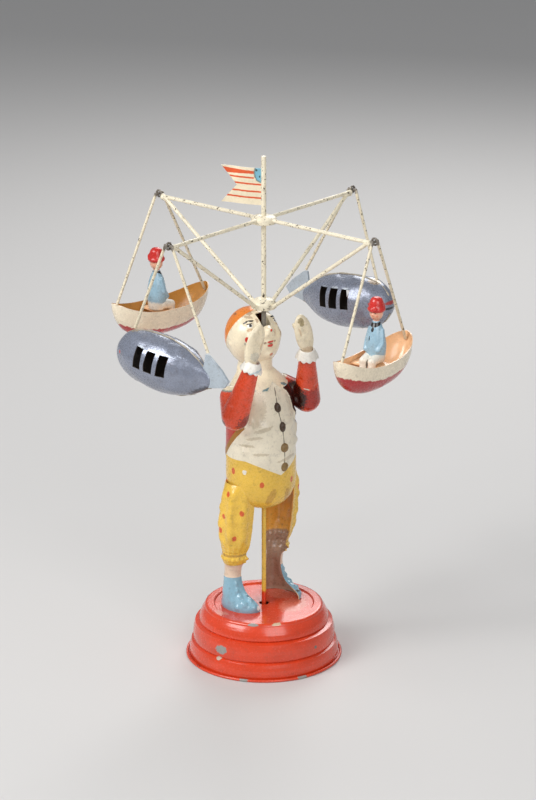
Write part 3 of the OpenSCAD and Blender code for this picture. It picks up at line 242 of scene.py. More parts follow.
def paint(name, main, spots=(), own=False, under=None, chips=0.3, chip_size=3.0, grime=0.3, gloss=0.3,
          tin=0.6, metal=None, coat=0.0, relief=0.3, pattern=None):
    """A painted material: a colour, a pattern and spots on it, then the wear of the whole."""
    material = bpy.data.materials.get(name)
    if material:
        return material
    material = bpy.data.materials.new(name)
    material.use_nodes = True
    material.diffuse_color = (*main, 1)
    net = Net(material.node_tree)
    shader = material.node_tree.nodes["Principled BSDF"]
    place = net.place(own)
    surface = pattern(net, place) if pattern else (*main, 1)
    for centre, size, tint, turn, ragged, strength in spots:
        mask = net.group(paint_spot(), {"Place": place, "Centre": centre, "Size": size, "Turn": turn,
                                        "Ragged": ragged}).outputs[0]
        if strength < 1:
            mask = net.math("MULTIPLY", mask, strength)
        surface = net.mix(mask, surface, (*tint, 1))
    wear = bpy.context.scene.toy_sizes.wear * 2
    worn = net.group(worn_paint(), {
        "Place": place, "Paint": surface, "Under": (*(under or srgb(128, 124, 118)), 1), "Chips": chips * wear,
        "Chip size": chip_size, "Grime": grime * wear, "Gloss": gloss, "Tin": tin}).outputs
    link = material.node_tree.links.new
    link(worn["Color"], shader.inputs["Base Color"])
    link(worn["Roughness"], shader.inputs["Roughness"])
    if metal is None:
        link(worn["Metallic"], shader.inputs["Metallic"])
    else:
        shader.inputs["Metallic"].default_value = metal
    shader.inputs["Coat Weight"].default_value = coat
    shader.inputs["Coat Roughness"].default_value = 0.15
    bump = net.node("Bump", {"Height": worn["Height"], "Strength": relief, "Distance": 0.0008})
    link(bump.outputs[0], shader.inputs["Normal"])
    return material


# ------------------------------------------------------------------------------------------ modelling tools

def at(x, y, z):
    """A place given in mm, in metres."""
    return (x * MM, y * MM, z * MM)


def fresh():
    """Object mode with nothing selected."""
    if bpy.context.mode != "OBJECT":
        bpy.ops.object.mode_set(mode="OBJECT")
    bpy.ops.object.select_all(action="DESELECT")


def take(piece):
    """Make this piece the only selected and the active one."""
    fresh()
    piece.select_set(True)
    bpy.context.view_layer.objects.active = piece


def named(name):
    """Name the active piece and its mesh."""
    piece = bpy.context.object
    piece.name = piece.data.name = name
    return piece


def pick(piece, test, kind="FACE"):
    """Edit mode with the faces or vertices selected whose centre in mm passes the test."""
    take(piece)
    bpy.ops.object.mode_set(mode="EDIT")
    bpy.ops.mesh.select_mode(type=kind)
    bpy.ops.mesh.select_all(action="DESELECT")
    bpy.ops.object.mode_set(mode="OBJECT")
    parts = piece.data.polygons if kind == "FACE" else piece.data.vertices
    found = False
    for part in parts:
        part.select = test((part.center if kind == "FACE" else part.co) / MM)
        found = found or part.select
    if not found:
        raise ValueError(f"nothing to pick on {piece.name}")
    bpy.ops.object.mode_set(mode="EDIT")


def done():
    bpy.ops.object.mode_set(mode="OBJECT")


def drop(piece, test, kind="FACE"):
    pick(piece, test, kind)
    bpy.ops.mesh.delete(type=kind)
    done()


def part_off(piece, test, name):
    """Separate the picked faces into a piece of their own."""
    pick(piece, test)
    bpy.ops.mesh.separate(type="SELECTED")
    done()
    other = [one for one in bpy.context.selected_objects if one is not piece][0]
    take(other)
    return named(name)


def edit_all():
    """Edit mode with all of the active piece selected."""
    bpy.ops.object.mode_set(mode="EDIT")
    bpy.ops.mesh.select_all(action="SELECT")


def cut(piece, place, normal):
    """Put a line of edges where a plane crosses the piece."""
    take(piece)
    edit_all()
    bpy.ops.mesh.bisect(plane_co=at(*place), plane_no=normal, threshold=1e-7)
    done()


def press(piece, test, height):
    """Raise the picked faces along their normals, as a die would."""
    pick(piece, test)
    bpy.ops.transform.shrink_fatten(value=height)
    done()


def swell(piece, place, push, reach):
    """Pull the surface nearest to a place by a push, easing out over a reach. All in mm."""
    goal = Vector(at(*place))
    near = min(piece.data.vertices, key=lambda vertex: (vertex.co - goal).length_squared).co / MM
    pick(piece, lambda spot: (spot - near).length < 1e-4, "VERT")
    bpy.ops.transform.translate(value=at(*push), use_proportional_edit=True, proportional_size=reach * MM,
                                proportional_edit_falloff="SMOOTH")
    done()


def swells(piece, rows):
    """Several swells, each a place, a push and a reach."""
    for place, push, reach in rows:
        swell(piece, place, push, reach)


def both_sides(piece, rows):
    """Swells given for the figure's left, pressed on both sides."""
    for (x, y, z), (u, v, w), reach in rows:
        for side in ((1,) if x == 0 else (1, -1)):
            swell(piece, (side * x, y, z), (side * u, v, w), reach)


def apply_change(piece, kind, **settings):
    """Add a modifier with its settings and apply it."""
    take(piece)
    change = piece.modifiers.new(kind.title(), kind)
    for key, value in settings.items():
        setattr(change, key, value)
    bpy.ops.object.modifier_apply(modifier=change.name)


def smooth(piece, levels=2):
    apply_change(piece, "SUBSURF", levels=levels, render_levels=levels)


def outwards(piece, middle):
    """Merge doubles and turn all faces away from a middle given in mm."""
    take(piece)
    edit_all()
    bpy.ops.mesh.remove_doubles(threshold=1e-6)
    bpy.ops.mesh.normals_make_consistent(inside=False)
    done()
    centre = Vector(at(*middle))
    if sum(face.area * face.normal.dot(face.center - centre) for face in piece.data.polygons) < 0:
        edit_all()
        bpy.ops.mesh.flip_normals()
        done()


def thicken(piece, inner=0):
    """Give a surface the thickness of the sheet, inwards. inner is how far on its inner slot lies."""
    apply_change(piece, "SOLIDIFY", thickness=bpy.context.scene.toy_sizes.sheet, offset=-1,
                 material_offset=inner, material_offset_rim=inner)


def apply_place(piece, matrix):
    """Move a piece by a matrix and leave the move in its mesh."""
    take(piece)
    piece.matrix_world = matrix
    bpy.ops.object.transform_apply(location=True, rotation=True, scale=True)


def loft(name, rings, sides=48, closed=True, keep=None):
    """Rings of (x, y, z, half width, half depth) in mm, extruded from one to the next along z."""
    fresh()
    x, y, z, wide, deep = rings[0]
    bpy.ops.mesh.primitive_circle_add(vertices=sides, radius=MM, fill_type="NGON" if closed else "NOTHING",
                                      location=(0, 0, 0))
    piece = named(name)
    if keep:
        drop(piece, lambda spot: not keep(spot), "VERT")
    take(piece)
    edit_all()
    bpy.ops.transform.resize(value=(wide, deep, 1), center_override=(0, 0, 0))
    bpy.ops.transform.translate(value=at(x, y, z))
    for this, after in zip(rings, rings[1:]):
        step = {"value": at(*(after[i] - this[i] for i in range(3)))}
        if closed:
            bpy.ops.mesh.extrude_region_move(TRANSFORM_OT_translate=step)
        else:
            bpy.ops.mesh.extrude_edges_move(TRANSFORM_OT_translate=step)
        bpy.ops.transform.resize(value=(after[3] / this[3], after[4] / this[4], 1), center_override=at(*after[:3]))
    bpy.ops.mesh.select_all(action="SELECT")
    bpy.ops.mesh.normals_make_consistent(inside=False)
    done()
    return piece


def turned(name, profile, sides=32, place=(0, 0, 0), squash=1.0):
    """A round shape from (radius, height) pairs, standing at a place."""
    x, y, z = place
    return loft(name, [(x, y, z + up, max(reach, 0.02), max(reach * squash, 0.02)) for reach, up in profile], sides)


def limb(name, start, end, first, last, sides=24):
    """A round bar with ball ends between two places, all in mm."""
    start, end = Vector(start), Vector(end)
    way = end - start
    caps = [10, 30, 50, 70, 90]
    profile = [(first * math.sin(math.radians(a)), -first * math.cos(math.radians(a))) for a in caps]
    profile += [(last * math.sin(math.radians(a)), way.length + last * math.cos(math.radians(a)))
                for a in reversed(caps)]
    piece = turned(name, profile, sides)
    turn = Vector((0, 0, 1)).rotation_difference(way).to_matrix().to_4x4()
    apply_place(piece, Matrix.Translation(start * MM) @ turn)
    return piece


def join(name, *pieces):
    """Join pieces into the first."""
    fresh()
    for piece in pieces:
        piece.select_set(True)
    bpy.context.view_layer.objects.active = pieces[0]
    bpy.ops.object.join()
    return named(name)


def melt(piece, cell=0.6, rounds=6):
    """Run joined shapes into one skin and smooth where they meet."""
    apply_change(piece, "REMESH", mode="VOXEL", voxel_size=cell * MM)
    apply_change(piece, "SMOOTH", factor=0.5, iterations=rounds)


def copy_of(piece, name):
    """A copy with a mesh of its own."""
    take(piece)
    bpy.ops.object.duplicate(linked=False)
    return named(name)


def mirrored(piece, name):
    """A copy for the other side of the figure."""
    other = copy_of(piece, name)
    apply_place(other, Matrix.Scale(-1, 4, (1, 0, 0)))
    edit_all()
    bpy.ops.mesh.normals_make_consistent(inside=False)
    done()
    return other


def slots(piece, *materials):
    """The piece's materials in order."""
    piece.data.materials.clear()
    for material in materials:
        piece.data.materials.append(material)


def areas(piece, which):
    """Give each face the slot that its centre in mm calls for."""
    for face in piece.data.polygons:
        face.material_index = which(face.center / MM)


def keep_own_place(piece):
    """Store where each point lies in mm before the piece is hung, for its paint."""
    store = piece.data.attributes.new("own", "FLOAT_VECTOR", "POINT")
    for vertex in piece.data.vertices:
        store.data[vertex.index].vector = vertex.co / MM


def settle(piece, body, slot, *nodes, angle=40):
    """Finish a piece: shading, the body it rides on, and hiding the nodes that it stands for. Its slot is not used.
    """
    take(piece)
    bpy.ops.object.shade_smooth_by_angle(angle=math.radians(angle))
    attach(piece, body)
    if nodes:
        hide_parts(*nodes)


def sit_on_node(piece, node):
    """Move a piece on to the middle and the foot of its construction node."""
    low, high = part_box(node)
    spots = [vertex.co for vertex in piece.data.vertices]
    first, last = (Vector([edge(spot[axis] for spot in spots) for axis in range(3)]) for edge in (min, max))
    shift = (low + high - first - last) / 2
    shift.z = low.z - first.z
    apply_place(piece, Matrix.Translation(shift))


def dress(material, *names):
    """Give construction nodes a material."""
    for name in names:
        node = frame["nodes"][name]
        node.data.materials.clear()
        node.data.materials.append(material)


def hung(body):
    """Where a gondola hangs: its origin in the eye of its arm, x along its way, z up."""
    joint = next(one for one in frame["joints"] if one["child"] == body)
    x, y, _ = joint["axis"]
    return Matrix.Translation(joint["pos_m"]) @ Matrix.Rotation(math.atan2(y, x), 4, "Z")


LENGTHWISE = Matrix(((0, 0, 1, 0), (1, 0, 0, 0), (0, 1, 0, 0), (0, 0, 0, 1)))


def between(rows, value, column):
    """A column of rows at a value of their first column, by straight lines."""
    for low, high in zip(rows, rows[1:]):
        if value <= high[0]:
            share = max(0.0, (value - low[0]) / (high[0] - low[0]))
            return low[column] + share * (high[column] - low[column])
    return rows[-1][column]


# --------------------------------------------------------------------------------------- shapes of the figure

# Torso: height, half width, reach to the front and to the back of the shaft, in mm.
TORSO = [(104.5 + up * 93, wide * 24.5, front * 18, back * 24) for up, wide, front, back in (
    (0.005, 0.3, 0.38, 0.22), (0.03, 0.6, 0.66, 0.52), (0.075, 0.84, 0.85, 0.78), (0.14, 0.97, 0.95, 0.94),
    (0.24, 1, 1, 1), (0.34, 0.985, 1.02, 1), (0.47, 0.97, 1, 1), (0.62, 0.95, 0.92, 1), (0.76, 0.93, 0.82, 0.98),
    (0.86, 0.87, 0.68, 0.93), (0.93, 0.7, 0.5, 0.86), (0.97, 0.52, 0.36, 0.82))]
TORSO += [(197.5, 10.5, 4.1, 22.5), (198.7, 9.5, 3.1, 21.5), (203.5, 9.5, 3.1, 21.5), (207.5, 9.5, 3.1, 21.5)]

# Legs: height over the base top, middle, half depth, bulge, in mm.
LEG = [(0, -2.5, 14.5, 9.6), (1.6, -2.5, 15, 10), (4.5, -2.1, 14, 9.5), (7.5, -0.1, 11.2, 8.8),
       (10, 2.5, 8.8, 8.4), (14.3, 3.3, 7, 7.6), (18.8, 3.9, 6.2, 7), (21.9, 4.1, 5.9, 6.7),
       (30.3, 3.4, 5.9, 6.7), (31.3, 2.7, 7.6, 8.8), (34.9, 2.4, 8.6, 9.8), (37.7, 2.3, 8.7, 9.9),
       (39.3, 2.2, 8.4, 9.6), (42.1, 1.5, 9.8, 11), (45.9, 1, 10.6, 12), (53.5, 0.7, 11.8, 13.4),
       (61.5, 0.2, 12.2, 13.9), (69.5, -0.8, 12, 13.7), (77.5, -1.6, 11.7, 13.3), (83, -2.2, 11.2, 12.6),
       (86.6, -2.3, 10.8, 11.3), (89, -2.4, 10.5, 9.8)]


def torso_ring(z, wide, front, back):
    return (0, (back - front) / 2, z, wide, (back + front) / 2)


def torso_point(z, angle):
    """A place on the torso: the angle in degrees turns from the figure's left to the back."""
    wide, front, back = (between(TORSO, z, column) for column in (1, 2, 3))
    turn = math.radians(angle)
    return (wide * math.cos(turn), (back - front) / 2 + (back + front) / 2 * math.sin(turn), z)


# Heights over the base top at which a shoe, a sock and the trouser cuff end.
SHOE_TOP, SOCK_TOP, CUFF_TOP = 21.8, 30.8, 39.2


def leg_frame(side):
    return (Matrix.Translation(at(side * 16.5, 6, 35)) @ Matrix.Rotation(math.radians(16), 4, "Z")
            @ Matrix.Diagonal((side, 1, 1, 1)))


def leg_point(side, z, angle):
    """A place on a leg: the angle in degrees turns from its front to its back."""
    middle, deep, bulge = (between(LEG, z, column) for column in (1, 2, 3))
    turn = math.radians(angle)
    spot = leg_frame(side) @ Vector(at(bulge * math.sin(turn), middle - deep * math.cos(turn), z))
    return tuple(spot / MM)


def trouser_dots():
    """The dots of the trousers: those in view where they are seen, the rest spread like them."""
    half = bpy.context.scene.toy_sizes.dot / MM / 2
    places = [(-24.1, 1.4, 133.4), (-13.1, -14.9, 125.5), (11, -15.8, 124.8)]
    places += [torso_point(z, angle) for z, angle in (
        (134, 8), (122, 28), (135, 55), (120, 75), (133, 98), (122, 118), (136, 140), (124, 158), (133, -38))]
    places += [leg_point(1, z, angle) for z, angle in (
        (67.7, 40), (55, 44), (70, 110), (49, 95), (60, 150), (78, 30), (82, 80))]
    places += [leg_point(-1, z, angle) for z, angle in (
        (70.4, 42.8), (66.8, 105), (56.6, 115.5), (52, 59.6), (83, 98.7), (62, 155), (75, 145), (48, 150))]
    tint = bpy.context.scene.toy_colours.dots
    return [spot(place, (half, half, half * 1.35), tint, ragged=0.28) for place in places]


# Waist: its height, the height of the point in front, and the rise from there to the sides.
WAIST, WAIST_DIP, WAIST_SLOPE = 141.7, 130.6, 0.53
# Coat: its front edge, the height at which that turns back, its slope below, and the right side's way back.
COAT_FRONT, COAT_BEND, COAT_SLOPE, COAT_BACK = -6.4, 164.3, 0.77, 3.8
# Collar: its lower edge, the height of its V in the middle, and the V's slope.
COLLAR, COLLAR_V, COLLAR_SLOPE = 187.3, 192.2, 0.95


def waist(spot):
    """Height of the trouser top: it dips to a point in front."""
    return min(WAIST, WAIST_DIP + WAIST_SLOPE * abs(spot.x)) if spot.y < 2 else WAIST


def coat_edge(spot):
    """How far forward the coat reaches: further on the figure's left than on its right."""
    edge = COAT_FRONT if spot.z > COAT_BEND else COAT_FRONT + COAT_SLOPE * (COAT_BEND - spot.z)
    return edge if spot.x > 0 else edge + COAT_BACK


class TOY_OT_torso(bpy.types.Operator):
    """Press the torso in two halves with trousers, waistcoat, coat and collar"""
    bl_idname = "toy.torso"
    bl_label = "Torso"

    def execute(self, context):
        sizes, tints = context.scene.toy_sizes, context.scene.toy_colours
        rings = [(0, 0, 104.5, 2.4, 2.4)] + [torso_ring(*row) for row in TORSO]
        front = loft("tunic_front", rings, 48, closed=False)
        outwards(front, (0, 4, 150))
        smooth(front)
        trim = sizes.trim / MM
        slant = trim * math.hypot(1, COAT_SLOPE)
        cut(front, (0, 0, WAIST), (0, 0, 1))
        cut(front, (0, 0, WAIST + trim), (0, 0, 1))
        for side in (1, -1):
            cut(front, (0, 0, WAIST_DIP), (-WAIST_SLOPE * side, 0, 1))
            cut(front, (0, 0, COLLAR_V), (COLLAR_SLOPE * side, 0, 1))
        for edge in (COAT_FRONT, COAT_FRONT + COAT_BACK):
            cut(front, (0, edge, 0), (0, 1, 0))
            cut(front, (0, edge - trim, 0), (0, 1, 0))
            cut(front, (0, edge, COAT_BEND), (0, 1, COAT_SLOPE))
            cut(front, (0, edge - slant, COAT_BEND), (0, 1, COAT_SLOPE))
        cut(front, (0, 0, COLLAR), (0, 0, 1))

        trousers, waistcoat, coat, gold, collar = range(5)

        def area(spot):
            if spot.z < waist(spot):
                return trousers
            if spot.z > COLLAR and (spot.y > -3 or spot.z + COLLAR_SLOPE * abs(spot.x) > COLLAR_V):
                return collar
            edge = coat_edge(spot)
            if abs(spot.x) < 8:
                return waistcoat
            if spot.y > edge:
                return gold if spot.z < WAIST + trim else coat
            return gold if spot.y > edge - (trim if spot.z > COAT_BEND else slant) else waistcoat

        dark, teal = srgb(70, 52, 38), srgb(86, 134, 140)
        line = [(0.8, -9.9, 189), (0.1, -12.7, 182.9), (-0.2, -14.4, 176), (1.2, -15.6, 169.5), (2.4, -16.4, 163),
                (2.9, -17.1, 156), (3.1, -17.8, 149), (3.1, -18.1, 142), (2.6, -18.1, 135)]
        seams = [spot([(a + b) / 2 for a, b in zip(one, two)], (0.45, 2.2, 4.0), dark,
                      (0, math.degrees(math.atan2(two[0] - one[0], two[2] - one[2])), 0), 0.25, 0.75)
                 for one, two in zip(line, line[1:])]
        # Painted shade: tan strokes along the waistcoat creases, and a tan patch on the chest under the right arm.
        tan = srgb(172, 150, 112)
        crease_shade = [spot((-20.5, -8, 152.4), (7, 6, 1.0), tan, (0, 8, 32), 0.5, 0.45),
                 spot((-13.5, -14.4, 146.6), (7, 5, 1.1), tan, (0, 4, 20), 0.5, 0.45),
                 spot((-16.5, -11.4, 157.4), (6, 6, 1.0), tan, (0, -6, 30), 0.5, 0.4),
                 spot((-14, -11, 176), (6, 8, 12), tan, (0, 10, 0), 0.5, 0.35),
                 spot((6, -16.5, 141), (9, 5, 1.2), tan, (0, -6, 0), 0.5, 0.4),
                 spot((-11, -14, 163), (7, 5, 1.6), tan, (0, -12, 0), 0.5, 0.4)]
        dots = trouser_dots()
        strokes = [spot((-4.5, -10.2, 188.4), (4.6, 2.5, 0.9), teal, (0, -12, 0), 0.35, 0.9),
                   spot((10.3, -8, 188.6), (5, 2.5, 0.9), teal, (0, 22, -14), 0.35, 0.9),
                   spot((-15.5, -3, 188.2), (6, 6, 0.8), teal, (0, 0, 0), 0.4, 0.55),
                   spot((-18.4, 8, 188), (3, 7, 0.7), teal, (0, 0, 0), 0.4, 0.4)]
        slots(front,
              paint("trouser enamel", tints.trousers, dots + [
                  spot((-21.6, -7, 134.2), (1.6, 1.6, 1.8), srgb(238, 232, 220), ragged=0.5),
                  # Painted shade: brown strokes in the folds at the crotch.
                  spot((-6, -15, 116), (3, 4, 7), srgb(166, 112, 40), (0, 20, 0), 0.5, 0.5),
                  spot((8, -14, 114), (3, 4, 8), srgb(166, 112, 40), (0, -20, 0), 0.5, 0.5)],
                  chips=0.2, grime=0.35, gloss=0.28, coat=0.3),
              paint("waistcoat enamel", tints.waistcoat, seams + crease_shade, chips=0.25, chip_size=2.5, grime=0.35,
                    gloss=0.36, under=srgb(150, 132, 104), tin=0.1, coat=0.35, relief=0.4),
              paint("coat enamel", tints.coat, chips=0.32, chip_size=2.2, grime=0.45, gloss=0.3, coat=0.3,
                    under=srgb(222, 206, 186), tin=0.1),
              # Painted shade: dark brown over the gold edge of the coat on the figure's left.
              paint("trim enamel", tints.trim, [spot((19, -7, 178), (14, 12, 26), srgb(70, 26, 18), ragged=0.15)],
                    chips=0.3, grime=0.5, gloss=0.4),
              paint("collar enamel", tints.ivory, strokes, chips=0.25, chip_size=2.5, grime=0.25, gloss=0.3,
                    under=srgb(168, 150, 120), tin=0.1))
        areas(front, area)
        press(front, lambda spot: area(spot) == collar, sizes.emboss)
        press(front, lambda spot: area(spot) in (coat, gold), sizes.emboss * 0.6)
        press(front, lambda spot: area(spot) == gold, sizes.emboss * 0.5)
        for one, two in zip(line, line[1:]):
            for share in (0, 0.5):
                place = [a + (b - a) * share for a, b in zip(one, two)]
                swell(front, (place[0] + 0.9, place[1], place[2]), (0, -0.4, 0), 2.2)
        for z in (148.6, 154.6, 160.2, 166):
            for angle in range(-158, -109, 8):
                for facing in (angle, -180 - angle):
                    x, y, up = torso_point(z + 1.3 * math.sin(math.radians(angle * 5 + z * 20)), facing)
                    swell(front, (x, y, up), (0.04 * x, -0.95, 0), 3.3)
        middle = [(row[0], (row[3] - row[2]) / 2) for row in TORSO]
        back = part_off(front, lambda spot: spot.y > between(middle, spot.z, 1), "tunic_back")
        for piece in (front, back):
            thicken(piece)
        settle(front, "base", "waistcoat_cream", "torso_front")
        settle(back, "base", "coat_red", "torso_back")
        return {"FINISHED"}


class TOY_OT_buttons(bpy.types.Operator):
    """Set four domed buttons down the waistcoat"""
    bl_idname = "toy.buttons"
    bl_label = "Buttons"

    def execute(self, context):
        tints = context.scene.toy_colours
        half = context.scene.toy_sizes.button / MM / 2
        tunic = bpy.data.objects["tunic_front"]
        pattern = turned("button_1", [(half * 0.92, -0.5), (half, -0.1), (half, 0.25), (half * 0.86, 0.8),
                                      (half * 0.74, 0.75), (half * 0.6, 1.2), (half * 0.25, 1.5)], 28)
        smooth(pattern, 1)
        swells(pattern, [
            ((1.6, 1, 1), (0.2, 0.1, 0.6), 1.4), ((-1.4, -1.2, 1), (-0.2, -0.2, 0.5), 1.3),
            ((-1, 1.6, 1), (0, 0.2, -0.5), 1.2), ((1, -1.8, 0.8), (0.2, -0.3, -0.4), 1.2)])
        worn, gold = srgb(70, 50, 32), srgb(138, 110, 64)
        for number, place in enumerate(((-0.1, -14.4, 176.3), (2.5, -16.3, 162.9), (3.1, -17.7, 148.9),
                                        (3.1, -18.1, 135.7)), 1):
            piece = pattern if number == 4 else copy_of(pattern, f"button_{number + 1}")
            _, spot_on, normal, _ = tunic.closest_point_on_mesh(Vector(at(*place)))
            turn = Vector((0, 0, 1)).rotation_difference(normal).to_matrix().to_4x4()
            shape = (0.78, 1.15, 1, 1) if number < 3 else (0.98, 1.04, 1, 1)
            apply_place(piece, Matrix.Translation(spot_on) @ turn @ Matrix.Diagonal(shape))
            slots(piece, paint("button brown", worn, chips=0.35, chip_size=1.5, grime=0.5, gloss=0.35, tin=0.2,
                               under=tints.trim)
                  if number < 3 else paint("button gold", gold, chips=0.5, chip_size=1.2, grime=0.6,
                                           gloss=0.35, under=worn, tin=0.2))
            settle(piece, "base", "waistcoat_cream")
        return {"FINISHED"}


# Head: half its width, depth and height, then its middle with the turn that tips the face up.
HEAD_SIZE = (17.5, 18.2, 19.5)
HEAD = Matrix.Translation(at(0, 11.4, 218.1)) @ Matrix.Rotation(math.radians(-28), 4, "X")


class TOY_OT_head(bpy.types.Operator):
    """Press the head in two halves, with its face, hair and the opening for the shaft"""
    bl_idname = "toy.head"
    bl_label = "Head"

    def execute(self, context):
        tints = context.scene.toy_colours
        fresh()
        bpy.ops.mesh.primitive_uv_sphere_add(segments=128, ring_count=80, radius=MM, location=(0, 0, 0))
        face = named("clown_face")
        edit_all()
        bpy.ops.transform.resize(value=HEAD_SIZE, center_override=(0, 0, 0))
        done()
        both_sides(face, [
            ((0, -18, -1.5), (0, -2.7, 0.4), 5.2), ((0, -20.6, -1.2), (0, -0.9, 0.3), 2.8),
            ((2.9, -18.2, -3.4), (0.5, -1.0, 0), 2.6), ((0, -17.6, -7.4), (0, -0.7, 0), 3.2),
            ((2.2, -17.2, -8.6), (0, -0.5, 0), 2.2), ((0, -17, -9.3), (0, 0.8, 0), 1.7),
            ((2.4, -16.7, -9.4), (0, 0.8, 0), 1.6), ((4.4, -16, -9), (0, 0.5, 0), 1.6),
            ((0, -16.2, -11), (0, -1.0, 0), 2.6), ((0, -14.3, -13), (0, 0.5, 0), 2.4),
            ((0, -11.6, -16), (0, -2.0, -0.5), 5.0), ((11, -13.4, -3.6), (0.7, -1.0, 0), 6.0),
            ((7.4, -15.8, 4.6), (0, 1.1, 0), 4.4), ((9.2, -14.8, 5.0), (0.3, -0.7, 0), 2.2),
            ((8.6, -14, 8.6), (0.2, -0.8, 0.3), 3.2), ((11.6, -11.6, 8.4), (0.4, -0.6, 0.2), 2.8),
            ((9.6, -15.4, 1.4), (0.2, -0.5, 0), 2.4), ((16.9, 3, -1), (0.9, 0, 0), 3.2)])
        apply_place(face, HEAD)
        cutter = turned("neck cutter", [(10.1, 190), (10.1, 206)], 48, squash=12.9 / 10.1)
        apply_place(cutter, Matrix.Translation(at(0, 9.2, 0)))
        fresh()
        bpy.ops.mesh.primitive_cube_add(size=MM, location=(0, 0, 0))
        hole = named("brow cutter")
        edit_all()
        bpy.ops.transform.resize(value=(7, 8.4, 22), center_override=(0, 0, 0))
        bpy.ops.transform.translate(value=at(0, 0.8, 236.9))
        done()
        for tool in (cutter, hole):
            apply_change(face, "BOOLEAN", operation="DIFFERENCE", object=tool, solver="EXACT")
            bpy.data.objects.remove(tool)
        home = HEAD.inverted()

        def skin(spot):
            """How far a point lies from the middle of the head, as a share of its radius."""
            local = home @ (Vector(spot) * MM) / MM
            return math.sqrt(sum((local[axis] / HEAD_SIZE[axis]) ** 2 for axis in range(3)))

        drop(face, lambda spot: skin(spot) < 0.93)
        black, white, tan, brown = srgb(24, 18, 16), srgb(250, 246, 236), srgb(196, 146, 92), srgb(134, 84, 50)
        spots = []
        for side in (-1, 1):
            spots += [
                # Painted shadow under each eye, in tan.
                spot((side * 11.2, 0.2, 227.0), (2.2, 2.2, 0.9), tan, (0, side * 14, side * 40), 0.4, 0.7),
                spot((side * 10.2, 1.4, 229.4), (2.0, 1.9, 1.1), white, (0, side * 10, side * 35), 0.1),
                spot((side * 9.9, 1.2, 229.6), (0.9, 1.2, 0.85), black, ragged=0.1),
                spot((side * 10.2, 2.0, 230.5), (2.2, 2.0, 0.35), black, (0, side * 14, side * 35), 0.1),
                spot((side * 11.3, 4.6, 231.2), (1.9, 1.6, 0.5), black, (0, side * 32, side * 35), 0.15),
                spot((side * 8.6, 2.6, 232.2), (2.1, 1.6, 0.5), black, (0, side * 2, side * 40), 0.15),
                spot((side * 13.6, 0, 221), (1.5, 1.7, 1.9), tints.lips, ragged=0.15),
                spot((side * 1.6, -8.4, 223.2), (0.9, 1.2, 0.5), brown, ragged=0.3, strength=0.8),
                spot((side * 5.4, -5.6, 224.2), (0.8, 2.2, 2.8), tan, (0, side * 24, 0), 0.4, 0.5),
                spot((side * 6, 8, 235.8), (2.2, 3, 1.6), brown, (0, 0, side * 20), 0.6, 0.55),
                spot((side * 3.9, -6.4, 218.6), (1.1, 1.5, 0.8), brown, (0, side * 20, 0), 0.3, 0.7)]
        spots += [spot((0, -9.4, 227.0), (1.6, 2.0, 1.6), tints.lips, ragged=0.15),
                  spot((0, -8.2, 219.0), (3.2, 2.4, 0.85), tints.lips, ragged=0.2),
                  spot((0, -7.8, 216.6), (2.7, 2.4, 0.95), tints.lips, ragged=0.2),
                  spot((0, -8.2, 217.8), (3.0, 2.4, 0.28), brown, ragged=0.2),
                  spot((0.4, -6.8, 210.6), (1.7, 2.2, 1.1), srgb(190, 92, 52), ragged=0.4, strength=0.8),
                  # Painted shade on the figure's left cheek, in brown.
                  spot((14, -1, 219), (5, 6, 11), brown, ragged=0.4, strength=0.5),
                  spot((-9, 5.5, 234.5), (3, 4, 1.2), brown, (0, 24, 30), 0.6, 0.5),
                  spot((-5, 1.5, 231), (1.0, 2, 2.4), brown, (0, 10, 20), 0.5, 0.5),
                  spot((-13.4, 1.6, 218.2), (1.4, 1.6, 1.8), srgb(150, 150, 138), ragged=0.4, strength=0.7)]
        ivory = paint("face enamel", tints.ivory, spots, chips=0.18, chip_size=2.5, grime=0.22, gloss=0.24,
                      under=srgb(176, 150, 112), tin=0.1, coat=0.4)
        hair = paint("hair enamel", tints.hair, [
            spot((-9, 17.6, 233), (3, 2, 1.2), brown, (0, 30, 0), 0.6, 0.8),
            spot((9, 18, 233), (3, 2, 1.2), brown, (0, -30, 0), 0.6, 0.8)],
            chips=0.25, grime=0.4, gloss=0.3, under=srgb(226, 208, 180), tin=0.1, coat=0.3)
        hairline, brow, slope, nape, dip = 15.2, 222, 0.5, 213, 0.35
        cut(face, (0, hairline, brow), (0, 1, slope))
        cut(face, (0, 0, nape), (0, dip, 1))
        slots(face, ivory, hair)

        def hairy(spot):
            return spot.y + slope * (spot.z - brow) > hairline and spot.z + dip * spot.y > nape

        areas(face, lambda spot: int(hairy(spot)))
        press(face, hairy, context.scene.toy_sizes.emboss)
        back = part_off(face, lambda spot: (home @ (spot * MM)).y > 0, "clown_head_back")
        for piece in (face, back):
            thicken(piece)
        settle(face, "base", "face_cream", "face")
        settle(back, "base", "hair_orange", "head_back")
        return {"FINISHED"}


